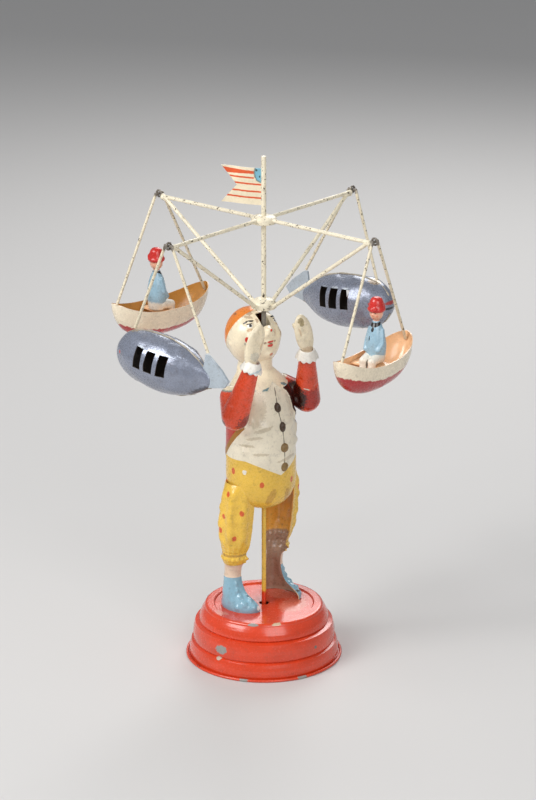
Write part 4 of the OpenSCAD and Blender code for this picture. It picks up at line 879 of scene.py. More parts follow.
class TOY_OT_arms(bpy.types.Operator):
    """Make both raised arms: sleeve, scalloped cuff and mitten hand"""
    bl_idname = "toy.arms"
    bl_label = "Arms"

    def execute(self, context):
        tints = context.scene.toy_colours
        shoulder, elbow, wrist = Vector((21, 7.5, 182)), Vector((29.5, -8, 174.5)), Vector((23, -16, 206.5))
        way = (wrist - elbow).normalized()
        sleeve = join("sleeve_left", limb("upper", shoulder, elbow, 7.5, 9),
                      limb("lower", elbow, wrist - way * 0.6, 9, 5.4))
        melt(sleeve, 0.7, 10)
        swells(sleeve, [
            ((21.5, -10, 176), (0.9, 0.9, -0.4), 3.5), ((24, -14.5, 183), (0.4, 0.6, 0), 2.6),
            ((34, -11, 182), (-0.6, 0.3, 0), 3), ((33, -9, 190), (-0.5, 0.3, 0), 3),
            ((21, -14, 191), (0.5, 0.5, 0), 2.6), ((29, -18, 186), (-0.1, 0.6, 0), 3),
            ((37, -8, 176), (0.7, 0, -0.4), 4), ((28, -16, 171), (0, -0.6, -0.5), 4)])
        dark, chip = srgb(30, 14, 12), srgb(232, 220, 202)
        # upper and brown are painted shade: the darker red over both upper arms and the red-brown at the right elbow.
        upper, brown, teal = srgb(176, 38, 20), srgb(104, 30, 18), srgb(120, 150, 146)
        blotches = [spot((-22, 2, 176), (9, 10, 8), upper, ragged=0.5, strength=0.8),
                    spot((22, 2, 176), (9, 10, 8), upper, ragged=0.5, strength=0.8),
                    spot((-27, -13, 172), (7, 7, 6), brown, (0, 20, 0), 0.7, 0.75),
                    spot((-37.5, -6, 172), (1.6, 2.2, 2.2), dark, ragged=0.4, strength=0.8),
                    # Painted shade: darker red at the front of the left elbow.
                    spot((27, -14.5, 177), (8, 6, 9), srgb(156, 28, 18), ragged=0.4, strength=0.8),
                    # Painted shade: near-black over the inner face of the left upper arm, in place of the shaded
                    # hollow of the sleeve shell.
                    spot((21, -6.5, 178), (9, 9.5, 11), dark, (0, 8, 0), 0.25, 0.95),
                    spot((17.5, -9.5, 180), (1.1, 1.6, 1.3), chip, ragged=0.5),
                    spot((22, -17, 184.5), (3, 2, 0.5), chip, (0, 16, 0), 0.5),
                    spot((31, -16, 178), (0.8, 1, 0.6), chip, ragged=0.5),
                    # Painted highlight: a bright orange stripe down the outer edge of the left forearm.
                    spot((33.2, -16, 187), (1.9, 3, 16), srgb(242, 104, 62), (11, -14, 0), 0.3),
                    spot((29, -19, 199), (0.4, 1.6, 3.4), chip, (11, -14, 0), 0.4)]
        blotches += [spot((-20, 9, 191), (10, 11, 6.4), teal, ragged=0.12),
                     spot((-19.6, 9, 191.4), (9.2, 10.2, 5.6), tints.ivory, ragged=0.12),
                     spot((18.5, 9, 191), (7, 10, 4), tints.ivory, ragged=0.12)]
        red = paint("sleeve enamel", tints.sleeve, blotches, chips=0.25, chip_size=2, grime=0.35, gloss=0.28,
                    coat=0.35, under=chip, tin=0.1)
        slots(sleeve, red)
        points = context.scene.toy_sizes.scallops
        cuff = loft("cuff_left", [(0, 0, z, r, r) for r, z in (
            (7.6, -2.4), (7.3, -1.0), (6.7, 0.4), (6.0, 1.8), (5.2, 3.2), (4.5, 4.6))], points * 8, closed=False)
        for vertex in cuff.data.vertices:
            turn = abs(math.sin(math.atan2(vertex.co.y, vertex.co.x) * points / 2))
            if vertex.co.z < -2 * MM:
                vertex.co.z += 1.6 * MM * (1 - turn)
            if vertex.co.z < 0.2 * MM:
                vertex.co.x *= 1.03 - 0.07 * (1 - turn)
                vertex.co.y *= 1.03 - 0.07 * (1 - turn)
        outwards(cuff, (0, 0, 0))
        thicken(cuff)
        smooth(cuff, 1)
        turn = Vector((0, 0, 1)).rotation_difference(way).to_matrix().to_4x4()
        apply_place(cuff, Matrix.Translation((wrist + way * 2) * MM) @ turn)
        slots(cuff, paint("cuff enamel", srgb(236, 232, 222), [
            # Painted shade: a bluish band round the lower part of the right cuff.
            spot((-23, -16, 207.2), (9, 9, 1.1), srgb(150, 178, 190), (0, -11, 0), 0.6, 0.6)],
            chips=0.2, chip_size=2, grime=0.25, gloss=0.3, under=srgb(176, 150, 112), tin=0.1))
        rings = [(23, -16, 206, 3.4, 3.2), (23, -16, 209, 3.5, 3.1), (22.7, -16, 212, 4.4, 3),
                 (21.8, -16.1, 216, 6.3, 2.7), (20.8, -16.2, 220, 7, 2.5), (19.6, -16.3, 225, 7, 2.5),
                 (18.4, -16.4, 229.5, 6.3, 2.4),
                 (17.5, -16.5, 233, 4.8, 2.1), (16.9, -16.5, 235.4, 2.8, 1.5), (16.6, -16.5, 236.6, 1.0, 0.5)]
        palm = loft("palm", rings, 32)
        thumb = limb("thumb", (20.5, -16, 216.5), (13.8, -14.6, 229.4), 2.2, 1.7)
        hand = join("hand_left", palm, thumb)
        melt(hand, 0.45, 5)
        swells(hand, [
            ((16.6, -18.4, 223), (0.4, 0.7, 0), 2.0), ((21, -18.8, 219), (0, 0.8, 0), 3.2),
            ((19, -18.9, 226), (0, 0.8, 0), 3.2), ((17.4, -18.4, 231.5), (0, 1.0, 0), 2.6),
            ((14.8, -17, 232), (0.8, 0.4, -0.6), 1.8), ((16.4, -18, 235.6), (-0.4, -0.5, 0), 1.6)])
        shade = srgb(190, 150, 104)
        slots(hand, paint("hand enamel", tints.ivory, [
            # Painted shade: olive tan at the fingertips of the left hand, in place of its shaded hollow.
            spot((16.4, -18, 231.6), (2.2, 2.4, 3.2), srgb(158, 140, 98), (0, -16, 0), 0.4, 0.85),
            spot((15.6, -17.6, 225), (0.7, 2.2, 3.4), shade, (0, -26, 0), 0.4, 0.5),
            spot((-15.6, -17.6, 223), (0.7, 2.2, 4.5), shade, (0, 26, 0), 0.4, 0.5),
            spot((21.6, -19, 213), (4, 3, 1.6), shade, ragged=0.5, strength=0.4),
            spot((-21.6, -19, 216), (4, 3, 3), srgb(176, 178, 172), (0, 14, 0), 0.5, 0.45)],
            chips=0.2, chip_size=2, grime=0.25, gloss=0.26, under=shade, tin=0.1, coat=0.3))
        for side in ("left", "right"):
            if side == "right":
                sleeve, cuff, hand = (mirrored(piece, piece.name.replace("left", side))
                                      for piece in (sleeve, cuff, hand))
            settle(sleeve, "base", "coat_red", f"{side}_arm", angle=60)
            settle(cuff, "base", "cream")
            settle(hand, "base", "face_cream", angle=60)
        return {"FINISHED"}


class TOY_OT_legs(bpy.types.Operator):
    """Make both legs as half shells with trousers, cuffs, socks and shoes"""
    bl_idname = "toy.legs"
    bl_label = "Legs"

    def execute(self, context):
        tints = context.scene.toy_colours
        rings = [(0, middle, z, bulge, deep) for z, middle, deep, bulge in LEG]
        leg = loft("leg_left", rings, 64, closed=False, keep=lambda spot: spot.x > -1e-6)
        outwards(leg, (0, 0, 40))
        smooth(leg)
        for z in (SHOE_TOP, SOCK_TOP, CUFF_TOP):
            cut(leg, (0, 0, z), (0, 0, 1))

        def fold(z, angle, push, reach, lift=0.0):
            """Pull a leg out, or press it in, at a height and an angle from its front."""
            turn = math.radians(angle)
            middle, deep, bulge = (between(LEG, z, column) for column in (1, 2, 3))
            swell(leg, (bulge * math.sin(turn), middle - deep * math.cos(turn), z),
                  (push * math.sin(turn), -push * math.cos(turn), lift), reach)

        for number in range(9):
            for z, push, reach in ((40.4, -0.8, 1.8), (43, -0.6, 2.2), (46.5, -0.4, 2.4)):
                fold(z, 10 + number * 20, push, reach)
            fold(35.4, 20 * number, 0.9, 2.0, -0.4)
        for angle, push in ((12, -0.5), (32, 0.7), (56, -0.6), (78, 0.7), (102, -0.6), (126, 0.7), (150, -0.5)):
            for z in range(50, 84, 4):
                fold(z + math.sin(angle + z), angle + 2 * math.sin(0.2 * z), push, 4.2)
        fold(35.4, 2, 2.0, 2.2, 0.3)
        fold(33.6, 4, 1.2, 1.6, -0.6)
        swells(leg, [
            ((13, 4, 48), (0.7, 0, 0), 5), ((5, -16.5, 5), (0.2, -0.7, 0.6), 3.5),
            ((8, -11, 6.5), (0.7, -0.4, 0.9), 2.6), ((3, -12, 8.4), (0, -0.8, 1.3), 2.6),
            ((6, -6, 9.6), (0.8, -0.9, 0.5), 2.4), ((2.5, -8, 10.4), (0, -0.9, 0.9), 2.0),
            ((9.5, 0, 7), (0.5, 0, 0), 3), ((6, -3, 13.5), (0.5, -0.9, 0), 2.2),
            ((9.6, -6, 3.4), (0.8, 0, 0), 2.6), ((5, -1.5, 17.5), (0.4, -0.7, 0), 2.0)])
        dark, varnish = srgb(172, 142, 120), srgb(226, 168, 76)
        bare = paint("bare inside", varnish, [
            spot((20.5, -8, 38), (5, 7, 6), srgb(226, 208, 166), (0, 0, 16), 0.4, 0.9),
            spot((-20, -8, 38), (5, 7, 6), srgb(226, 208, 166), (0, 0, 16), 0.4, 0.9),
            spot((18, 4, 39), (8, 6, 3.4), srgb(70, 48, 36), ragged=0.5, strength=0.7)],
            pattern=lambda net, place: net.mix(
                net.rise(net.math("ADD", net.node("SeparateXYZ", {0: place}).outputs[2], net.math(
                    "MULTIPLY", net.noise(place, 0.15), 4.0)), 78.6, 80.6), (*dark, 1), (*varnish, 1)),
            chips=0.2, grime=0.5, gloss=0.3, tin=0.2, coat=0.3)
        slots(leg, bpy.data.materials["trouser enamel"],
              paint("cuff yellow", tints.trousers, [
                  # Painted shade: a brown band round the top of each trouser frill, under the gather.
                  spot((-25, 5, 73.8), (14, 14, 1.3), srgb(150, 100, 38), ragged=0.5, strength=0.6),
                  spot((25, 5, 73.8), (14, 14, 1.3), srgb(150, 100, 38), ragged=0.5, strength=0.6)],
                  chips=0.25, grime=0.5, gloss=0.3, coat=0.3),
              paint("sock enamel", tints.socks, chips=0.25, chip_size=2, grime=0.3, gloss=0.32, tin=0.2,
                    under=srgb(150, 110, 84)),
              paint("shoe enamel", tints.shoes, [
                  # Painted shade: darker blue low on the outer side of the right shoe.
                  spot((-29, -6, 39), (4, 4, 1.2), srgb(70, 92, 104), ragged=0.6, strength=0.5),
                  spot((-12.5, -11.6, 38), (2, 2.4, 1.6), srgb(238, 238, 232), ragged=0.6),
                  spot((-14.5, -9.4, 41.5), (1.2, 1.6, 0.8), srgb(238, 238, 232), ragged=0.6),
                  spot((23, -10, 41), (3, 3, 1.4), srgb(90, 80, 66), ragged=0.6),
                  # Painted shade: darker blue on the inner side of the left shoe, between the legs.
                  spot((14, -2, 41), (4, 4, 1.2), srgb(70, 92, 104), ragged=0.6, strength=0.5)],
                  chips=0.3, chip_size=2, grime=0.35, gloss=0.2, coat=0.5, under=srgb(222, 226, 224), tin=0.1),
              bare, bare, bare, bare)

        def area(spot):
            return sum(spot.z < top for top in (SHOE_TOP, SOCK_TOP, CUFF_TOP))

        areas(leg, area)
        press(leg, lambda spot: area(spot) == 3, 0.35 * MM)
        right = mirrored(leg, "leg_right")
        for piece, side in ((leg, 1), (right, -1)):
            take(piece)
            if side < 0:
                outwards(piece, (0, 0, 40))
            thicken(piece, 4)
            apply_place(piece, leg_frame(side) @ Matrix.Diagonal((side, 1, 1, 1)))
        settle(leg, "base", "trouser_yellow", "left_leg")
        settle(right, "base", "trouser_yellow", "right_leg")
        return {"FINISHED"}


class TOY_OT_base(bpy.types.Operator):
    """Paint the base, its floor plate and the rod, and finish the clockwork and the key"""
    bl_idname = "toy.base"
    bl_label = "Base and clockwork"

    def execute(self, context):
        tints = context.scene.toy_colours
        tin, pink, black = srgb(150, 148, 142), srgb(214, 128, 104), srgb(20, 14, 12)
        chips = [spot((-45, -12.4, 17.4), (6, 4.6, 3.0), tin, (0, 8, 20), 0.45),
                 spot((-45.8, -10.8, 11.1), (1.8, 2.2, 1.4), srgb(206, 188, 170), ragged=0.5),
                 spot((6.7, -46.6, 17), (1.2, 1.4, 1.2), srgb(120, 104, 92), ragged=0.5),
                 spot((-29.6, -26.1, 35.2), (4, 4, 0.9), tin, (0, 0, 40), 0.5),
                 spot((-17.2, -35.4, 35.4), (4.4, 3, 0.8), srgb(206, 180, 150), (0, 0, 20), 0.5),
                 spot((-33, 1.7, 36), (4.5, 5, 2), pink, ragged=0.5, strength=0.7),
                 spot((13, -15, 35), (13, 9, 2), pink, (0, 0, 30), 0.6, 0.6),
                 spot((20, 4, 35), (9, 11, 2), pink, (0, 0, 30), 0.6, 0.5),
                 # Painted shade: black in the hole round the rod.
                 spot((0, 0, 35), (3.4, 3.4, 1.2), black, ragged=0.3, strength=0.9),
                 spot((-30, 20, 24), (1.6, 2, 2), tin, ragged=0.5),
                 spot((38, 20, 20), (2.4, 2.4, 1.8), tin, ragged=0.5)]
        red = paint("base enamel", tints.base, chips, chips=0.26, chip_size=1.6, grime=0.2, gloss=0.24, coat=0.5,
                    under=srgb(222, 166, 116), tin=0.1, relief=0.2)
        dress(red, "base_bell")
        dress(paint("floor plate enamel", tints.base, [
            spot((-41, -31, 2), (3.4, 3, 3), tin, (0, 0, 40), 0.5), spot((-8, -51, 2), (3.6, 2, 3), tin, ragged=0.5),
            spot((-51, 6, 3), (2, 6, 1.4), srgb(60, 40, 34), ragged=0.6), spot((50, -14, 4), (2, 6, 1.4), black,
                                                                          ragged=0.6)],
            chips=0.34, chip_size=1.4, grime=0.25, gloss=0.26, coat=0.4, under=tin, relief=0.2), "floor_plate")
        brass = paint("clockwork brass", tints.brass, metal=1.0, chips=0.0, grime=0.35, gloss=0.34)
        steel = paint("clockwork steel", tints.steel, metal=1.0, chips=0.1, grime=0.4, gloss=0.38,
                      under=srgb(110, 84, 62))
        dress(brass, "great_wheel", "crown_wheel", "shaft_pinion", "ratchet_wheel", "footstep_bearing",
              "neck_bearing")
        dress(steel, "front_plate", "rear_plate", "pillars", "plate_rivets", "winding_arbor", "winding_key",
              "mainspring", "click", "click_rivet", "pinion_arbor")
        rod = paint("rod enamel", tints.trousers, [
            spot((0, 0, 36), (4, 4, 9), tints.base, ragged=0.3),
            spot((0, 0, 226), (5, 5, 22), srgb(128, 122, 112), ragged=0.2)],
            chips=0.3, chip_size=1.6, grime=0.35, gloss=0.28, coat=0.3, relief=0.2)
        dress(rod, "drive_shaft")
        return {"FINISHED"}


# Turn of the first arm in degrees, and how far its eye lies from the mast.
ARM_TURN, EYE_REACH = 11.65, 91.5


class TOY_OT_carousel(bpy.types.Operator):
    """Paint the mast, hubs, arms, struts and hangers, with bare wire at the eyes"""
    bl_idname = "toy.carousel"
    bl_label = "Carousel"

    def execute(self, context):
        tints = context.scene.toy_colours
        bare = srgb(120, 112, 102)
        eyes = []
        for number in range(4):
            turn = math.radians(ARM_TURN + 90 * number)
            eyes.append(spot((EYE_REACH * math.cos(turn), EYE_REACH * math.sin(turn), 300), (4.6, 4.6, 5), bare,
                             ragged=0.3))
        cream = paint("carousel enamel", tints.cream, eyes, chips=0.72, chip_size=1.8, grime=0.5, gloss=0.34,
                      under=srgb(84, 72, 58), tin=0.3)
        names = ["mast", "upper_hub", "lower_hub"]
        names += [f"{kind}_{number}" for kind in ("upper_arm", "lower_strut") for number in range(1, 5)]
        dress(cream, *names)
        dress(paint("hanger enamel", srgb(228, 216, 188), eyes, chips=0.75, chip_size=1.5, grime=0.55, gloss=0.36,
                    under=srgb(96, 84, 70), tin=0.3),
              "boat_1_hanger", "boat_2_hanger", "airship_1_hanger", "airship_2_hanger")
        blob = join("solder_1", limb("run", (82.6, 0, 298), (86.2, 0, 298.8), 1.5, 2.1),
                    limb("drop", (84.2, 0.5, 298.2), (87.2, -0.4, 299.4), 1.6, 1.7))
        melt(blob, 0.35, 4)
        swells(blob, [
            ((84, 2, 299), (0, 0.4, 0.3), 1.4), ((86.5, -1.6, 298), (0.2, -0.4, -0.4), 1.4)])
        slots(blob, cream)
        for number in range(1, 5):
            piece = blob if number == 4 else copy_of(blob, f"solder_{number + 1}")
            apply_place(piece, Matrix.Rotation(math.radians(ARM_TURN + 90 * (number - 1)), 4, "Z"))
            settle(piece, "carousel", "cream", angle=60)
        return {"FINISHED"}


# Flag: length, height, top edge at the mast, rise of that edge, and the mast's radius.
FLAG_LONG, FLAG_HIGH, FLAG_TOP, FLAG_RISE, MAST = 27, 24, 332.2, 0.1, 1.6


class TOY_OT_flag(bpy.types.Operator):
    """Cut and wave the tin flag and paint its stripes and corner"""
    bl_idname = "toy.flag"
    bl_label = "Flag"

    def execute(self, context):
        tints = context.scene.toy_colours
        half = context.scene.toy_sizes.stripe / MM / 2
        fresh()
        bpy.ops.mesh.primitive_grid_add(x_subdivisions=56, y_subdivisions=48, size=1, location=(0, 0, 0))
        flag = named("tin_flag")
        for vertex in flag.data.vertices:
            along, down = vertex.co.x + 0.5, 0.5 - vertex.co.y
            reach = FLAG_LONG - 10 * (1 - abs(2 * down - 1))
            x = 1.7 + (reach - 1.7) * along
            wave = 1.4 * math.sin(math.tau * (x - MAST) / FLAG_LONG) * (x - MAST) / FLAG_LONG
            vertex.co = at(x, wave, FLAG_TOP - FLAG_HIGH * down + FLAG_RISE * (x - MAST))
        outwards(flag, (10, -40, 320))
        store = flag.data.attributes.new("own", "FLOAT_VECTOR", "POINT")
        for vertex in flag.data.vertices:
            spot_at = vertex.co / MM
            store.data[vertex.index].vector = (spot_at.x, 0, FLAG_TOP + FLAG_RISE * (spot_at.x - MAST) - spot_at.z)
        apply_change(flag, "SOLIDIFY", thickness=0.4 * MM, offset=0)
        apply_place(flag, Matrix.Rotation(math.radians(142.15), 4, "Z"))

        def stripes(net, place):
            along, _, down = net.node("SeparateXYZ", {0: place}).outputs
            wobble = net.math("MULTIPLY", net.math("SUBTRACT", net.noise(place, 0.35, 3.0), 0.5), 0.7)
            surface = (*tints.ivory, 1)
            for number, middle in enumerate((3.0, 6.6, 10.6, 15.4, 19.4)):
                away = net.math("ABSOLUTE", net.math("SUBTRACT", net.math("ADD", down, wobble), middle))
                wide = net.math("ADD", half, net.math("MULTIPLY", along, 0.05)) if number == 0 else half
                band = net.math("SUBTRACT", 1.0, net.rise(net.math("SUBTRACT", away, wide), -0.15, 0.15))
                if number < 2:
                    band = net.math("MULTIPLY", band, net.rise(along, 6.0, 6.4))
                surface = net.mix(band, surface, (*srgb(222, 92, 48), 1))
            return surface

        dark = srgb(58, 82, 84)
        slots(flag, paint("flag enamel", tints.ivory, [
            spot((2.0, 0, 3.2), (4.4, 9, 6.2), dark, ragged=0.15),
            spot((1.6, 0, 3.0), (4.2, 9, 6.0), tints.canton, ragged=0.15),
            spot((4.6, 0, 1.4), (0.7, 9, 0.8), dark, ragged=0.3),
            spot((2.6, 0, 5.4), (0.5, 9, 0.7), dark, ragged=0.3)],
            own=True, chips=0.15, grime=0.2, gloss=0.34, under=srgb(150, 140, 124), pattern=stripes))
        settle(flag, "carousel", "flag_paint", "flag")
        return {"FINISHED"}


# --------------------------------------------------------------------------------------- what hangs from the arms

# Boat: half length, half width, depth, rise of its ends and height of its rim under the eye. The rows give the
# share of the half length, and the width, the rise and the depth there.
BOAT_HALF, BOAT_WIDE, BOAT_DEEP, BOAT_SHEER, BOAT_RIM = 40, 14.5, 19.5, 8.5, -76
BOAT = [(0, 1, 0, 1), (0.2, 0.99, 0.02, 1), (0.4, 0.95, 0.1, 0.99), (0.6, 0.86, 0.28, 0.95), (0.78, 0.68, 0.54, 0.86),
        (0.92, 0.42, 0.84, 0.6), (1, 0.08, 1, 0.2)]


class TOY_OT_boats(bpy.types.Operator):
    """Make both boats, with a painted waterline and a tan inside"""
    bl_idname = "toy.boats"
    bl_label = "Boats"

    def execute(self, context):
        tints = context.scene.toy_colours
        rows = [(-share, *rest) for share, *rest in reversed(BOAT)] + BOAT[1:]
        rings = [(0, sheer * BOAT_SHEER + BOAT_RIM, share * BOAT_HALF, wide * BOAT_WIDE, deep * BOAT_DEEP)
                 for share, wide, sheer, deep in rows]
        hull = loft("boat_1_shell", rings, 64, closed=False, keep=lambda spot: spot.y < 1e-6)
        for end in (-BOAT_HALF, BOAT_HALF):
            pick(hull, lambda spot: abs(spot.z - end) < 1e-3, "VERT")
            bpy.ops.mesh.edge_face_add()
            done()
        outwards(hull, (0, -78, 0))
        smooth(hull)
        apply_place(hull, LENGTHWISE)

        swells(hull, [
            ((14, 14, -78), (0, -0.5, 0), 6), ((-16, 13, -84), (0, 0.5, 0), 5),
            ((-12, -14, -80), (0, 0.6, 0), 6), ((20, -11, -84), (0, -0.5, 0), 5),
            ((4, 10, -91), (0, 0.3, -0.4), 4), ((-6, -10, -91), (0, -0.3, -0.4), 4)])
        brown, rust = srgb(112, 62, 28), srgb(168, 74, 34)
        # Patches inside each boat: darker brown or rust low inside and towards one end, and a lighter patch by the
        # rim at the other end.
        inside_patches = [[spot((-22, 0, -82), (8, 12, 9), brown, ragged=0.7, strength=0.8),
                   spot((8, 0, -92), (12, 14, 5), brown, ragged=0.7, strength=0.8),
                   spot((30, 0, -76), (5, 9, 7), srgb(232, 170, 84), ragged=0.6, strength=0.7)],
                  [spot((0, 0, -92), (24, 12, 4), rust, ragged=0.7, strength=0.8),
                   spot((34, 0, -74), (5, 8, 6), srgb(250, 214, 172), ragged=0.6, strength=0.7)]]
        looks = []
        for number, inside, level in ((1, tints.gold, -89), (2, tints.peach, -85.4)):
            looks.append((
                paint(f"boat {number} enamel", tints.hull, own=True, pattern=self.waterline(tints, level), chips=0.34,
                      chip_size=2.2, grime=0.3, gloss=0.26, under=srgb(140, 116, 90), tin=0.2, coat=0.3),
                paint(f"boat {number} inside", inside, inside_patches[number - 1], own=True, chips=0.25, chip_size=3,
                      grime=0.3, gloss=0.22, coat=0.5, under=rust, tin=0.1)))
        slots(hull, *looks[0])
        areas(hull, lambda spot: 0)
        thicken(hull, 1)
        keep_own_place(hull)
        other = copy_of(hull, "boat_2_shell")
        for index, material in enumerate(looks[1]):
            other.data.materials[index] = material
        for number, piece in ((1, hull), (2, other)):
            apply_place(piece, hung(f"boat_{number}"))
            settle(piece, f"boat_{number}", "boat_cream", f"boat_{number}_hull")
        dress(paint("thwart enamel", tints.peach, chips=0.3, grime=0.5, gloss=0.3, under=brown, tin=0.1),
              "boat_1_thwart", "boat_2_thwart")
        return {"FINISHED"}

    def waterline(self, tints, height):
        """A pattern of cream over red that meet along a ragged line, higher towards both ends."""
        def pattern(net, place):
            along, _, up = net.node("SeparateXYZ", {0: place}).outputs
            wobble = net.math("MULTIPLY", net.math("SUBTRACT", net.noise(place, 0.22, 5.0, 0.65), 0.5), 4.4)
            ends = net.math("MULTIPLY", net.math("MULTIPLY", along, along), 0.0052)
            level = net.math("SUBTRACT", net.math("ADD", up, wobble), ends)
            return net.mix(net.rise(level, height - 0.4, height + 0.3), (*tints.keel, 1), (*tints.hull, 1))
        return pattern


class TOY_OT_sailors(bpy.types.Operator):
    """Make both sailors, each sitting on a thwart"""
    bl_idname = "toy.sailors"
    bl_label = "Sailors"

    def execute(self, context):
        tints = context.scene.toy_colours
        x, seat = -3, -79
        jacket = turned("jacket", [(4.4, 0.2), (5.6, 0.8), (6.1, 4), (6.5, 8), (6.7, 10.8), (6.4, 14), (5.7, 18),
                                   (4.7, 22), (3.4, 25), (2.4, 26.6), (2.3, 28.6)], 32, (x, 0, seat))
        smooth(jacket, 1)
        arms = []
        for side in (1, -1):
            arms.append(limb("arm", (x, side * 4.2, -57.4), (x + 1.6, side * 5.4, -65.4), 1.7, 1.9, 16))
            arms.append(limb("forearm", (x + 1.6, side * 5.4, -65.4), (x + 5, side * 4.4, -69.6), 1.9, 1.7, 16))
        jacket = join("jacket", jacket, *arms)
        melt(jacket, 0.45, 4)
        legs = [limb("leg", (x + 1, side * 3, -74.6), (x + 9.4, side * 3.1, -76), 3.6, 2.9, 16) for side in (1, -1)]
        legs += [limb("shin", (x + 9.4, side * 3.1, -76.2), (x + 10.4, side * 3.1, -88), 2.7, 2.1, 16)
                 for side in (1, -1)]
        legs = join("trousers", *legs)
        melt(legs, 0.45, 4)
        head = turned("head", [(1.4, -4.4), (2.6, -3.7), (3.6, -2.6), (4.2, -1.2), (4.35, 0.4), (4.1, 2), (3.2, 3.4),
                               (1.6, 4.2)], 32, (x, 0, -46.75))
        smooth(head, 1)
        swells(head, [
            ((x + 4.4, 0, -47.2), (0.9, 0, -0.1), 1.4), ((x + 3.6, 0, -50.2), (0.5, 0, 0), 1.6),
            ((x + 4, 1.6, -46), (-0.3, 0, 0), 1.0), ((x + 4, -1.6, -46), (-0.3, 0, 0), 1.0)])
        hat = turned("hat", [(4.5, -45.6), (5.3, -45.3), (5.75, -44.2), (5.75, -43.4), (5.1, -42.9), (4.7, -41.2),
                             (4.3, -38.6), (3.2, -36.8), (1.2, -36.15)], 32, (x, 0, 0))
        smooth(hat, 1)
        swells(hat, [
            ((x + 5, 2, -43.6), (1.0, 0.4, 0.6), 2.0), ((x - 4, 3, -42), (-0.8, 0.4, 0.5), 2.4),
            ((x + 1, -4.6, -40), (0.2, 0.9, -0.6), 2.2), ((x + 1, 3, -37), (0.4, 0.3, -0.9), 2.2),
            ((x - 2, -2, -36.4), (-0.3, -0.4, -0.6), 2.0)])
        black = srgb(30, 24, 24)
        slots(jacket, paint("sailor jacket", tints.jacket, [
            spot((x + 1.6, 0, -53.4), (4.6, 4.6, 1.2), black, (0, 20, 0), 0.4),
            spot((x + 4.6, 0, -56), (1.6, 1.1, 2.2), black, ragged=0.4),
            spot((x + 6.2, -1.6, -62), (1.2, 0.5, 2.0), black, ragged=0.4),
            spot((x, 0, -50.4), (3, 3, 1.7), tints.skin, ragged=0.1),
            spot((x - 1, 0, -79.5), (11, 10, 8.5), srgb(238, 232, 218), ragged=0.15)],
            own=True, chips=0.3, chip_size=1.8, grime=0.35, gloss=0.26, under=srgb(214, 214, 206), tin=0.1,
            coat=0.35))
        slots(legs, paint("sailor trousers", srgb(238, 232, 218), [
            spot((x + 10.5, 3, -89), (3, 2.8, 2.2), black, ragged=0.3),
            spot((x + 10.5, -3, -89), (3, 2.8, 2.2), black, ragged=0.3),
            # Painted shade: a dark strip between the legs.
            spot((x + 10, 0, -80), (3, 0.8, 6), srgb(64, 42, 34), ragged=0.4, strength=0.7)],
            own=True, chips=0.25, chip_size=2, grime=0.4, gloss=0.32, under=srgb(150, 140, 126)))
        features = [spot((x + 5.1, 0, -47.4), (0.7, 0.8, 0.7), srgb(206, 96, 70), ragged=0.2, strength=0.7),
                    spot((x + 4.2, 0, -49.3), (0.9, 1.2, 0.32), tints.lips, ragged=0.2)]
        for side in (1, -1):
            features += [spot((x + 4, side * 1.6, -46.1), (0.6, 0.55, 0.4), black, ragged=0.2),
                         spot((x + 3.9, side * 1.7, -45.2), (0.7, 0.9, 0.25), srgb(92, 54, 34), ragged=0.2),
                         spot((x + 3.4, side * 2.7, -48), (0.9, 0.9, 0.9), srgb(222, 120, 92), ragged=0.3,
                              strength=0.6)]
        slots(head, paint("sailor face", tints.skin, features, own=True, chips=0.15, grime=0.25, gloss=0.3, coat=0.3,
                          under=srgb(206, 140, 104), tin=0.1))
        slots(hat, paint("sailor hat", tints.cap, own=True, chips=0.25, chip_size=1.6, grime=0.3, gloss=0.26,
                         coat=0.4, under=srgb(226, 190, 170), tin=0.1))
        for piece in (jacket, legs, head, hat):
            keep_own_place(piece)
            other = copy_of(piece, f"sailor_2_{piece.name}")
            piece.name = piece.data.name = f"sailor_1_{piece.name}"
            for number, one in ((1, piece), (2, other)):
                apply_place(one, hung(f"boat_{number}"))
                settle(one, f"boat_{number}", "sailor_blue", *([f"boat_{number}_sailor"] if piece is jacket else []),
                       angle=60)
        return {"FINISHED"}


# Airship: place of its nose, length, half height and half width. The rows give the share of the length from the
# nose, and the height and width there.
SHIP_NOSE, SHIP_LONG, SHIP_HIGH, SHIP_WIDE = 40, 76, 18.2, 16.6
SHIP = [(0, 0.1, 0.1), (0.02, 0.34, 0.34), (0.06, 0.57, 0.57), (0.14, 0.8, 0.79), (0.26, 0.94, 0.94), (0.4, 1, 1),
        (0.55, 1, 0.98), (0.7, 0.89, 0.83), (0.83, 0.65, 0.54), (0.93, 0.36, 0.24), (1, 0.2, 0.08)]
FIN = [(-27, 1), (-29.5, 10.2), (-30, 17), (-33, 17), (-43.7, 10.5), (-50, 4.8), (-47.2, 0), (-36, -3.6), (-27, -5.5)]
# Windows: their middles, half width, sill and top.
WINDOWS = [3 + 9.4 * step for step in (-1, 0, 1)]
WINDOW_HALF, WINDOW_SILL, WINDOW_TOP = 3.2, -2.1, 10.9


def ship_place(number):
    """Where an airship's own frame lies: hung from its arm with the nose tipped up."""
    shift = -6 if number == 1 else 1.5
    return (hung(f"airship_{number}") @ Matrix.Translation(at(shift, 0, -77))
            @ Matrix.Rotation(math.radians(-6), 4, "Y"))


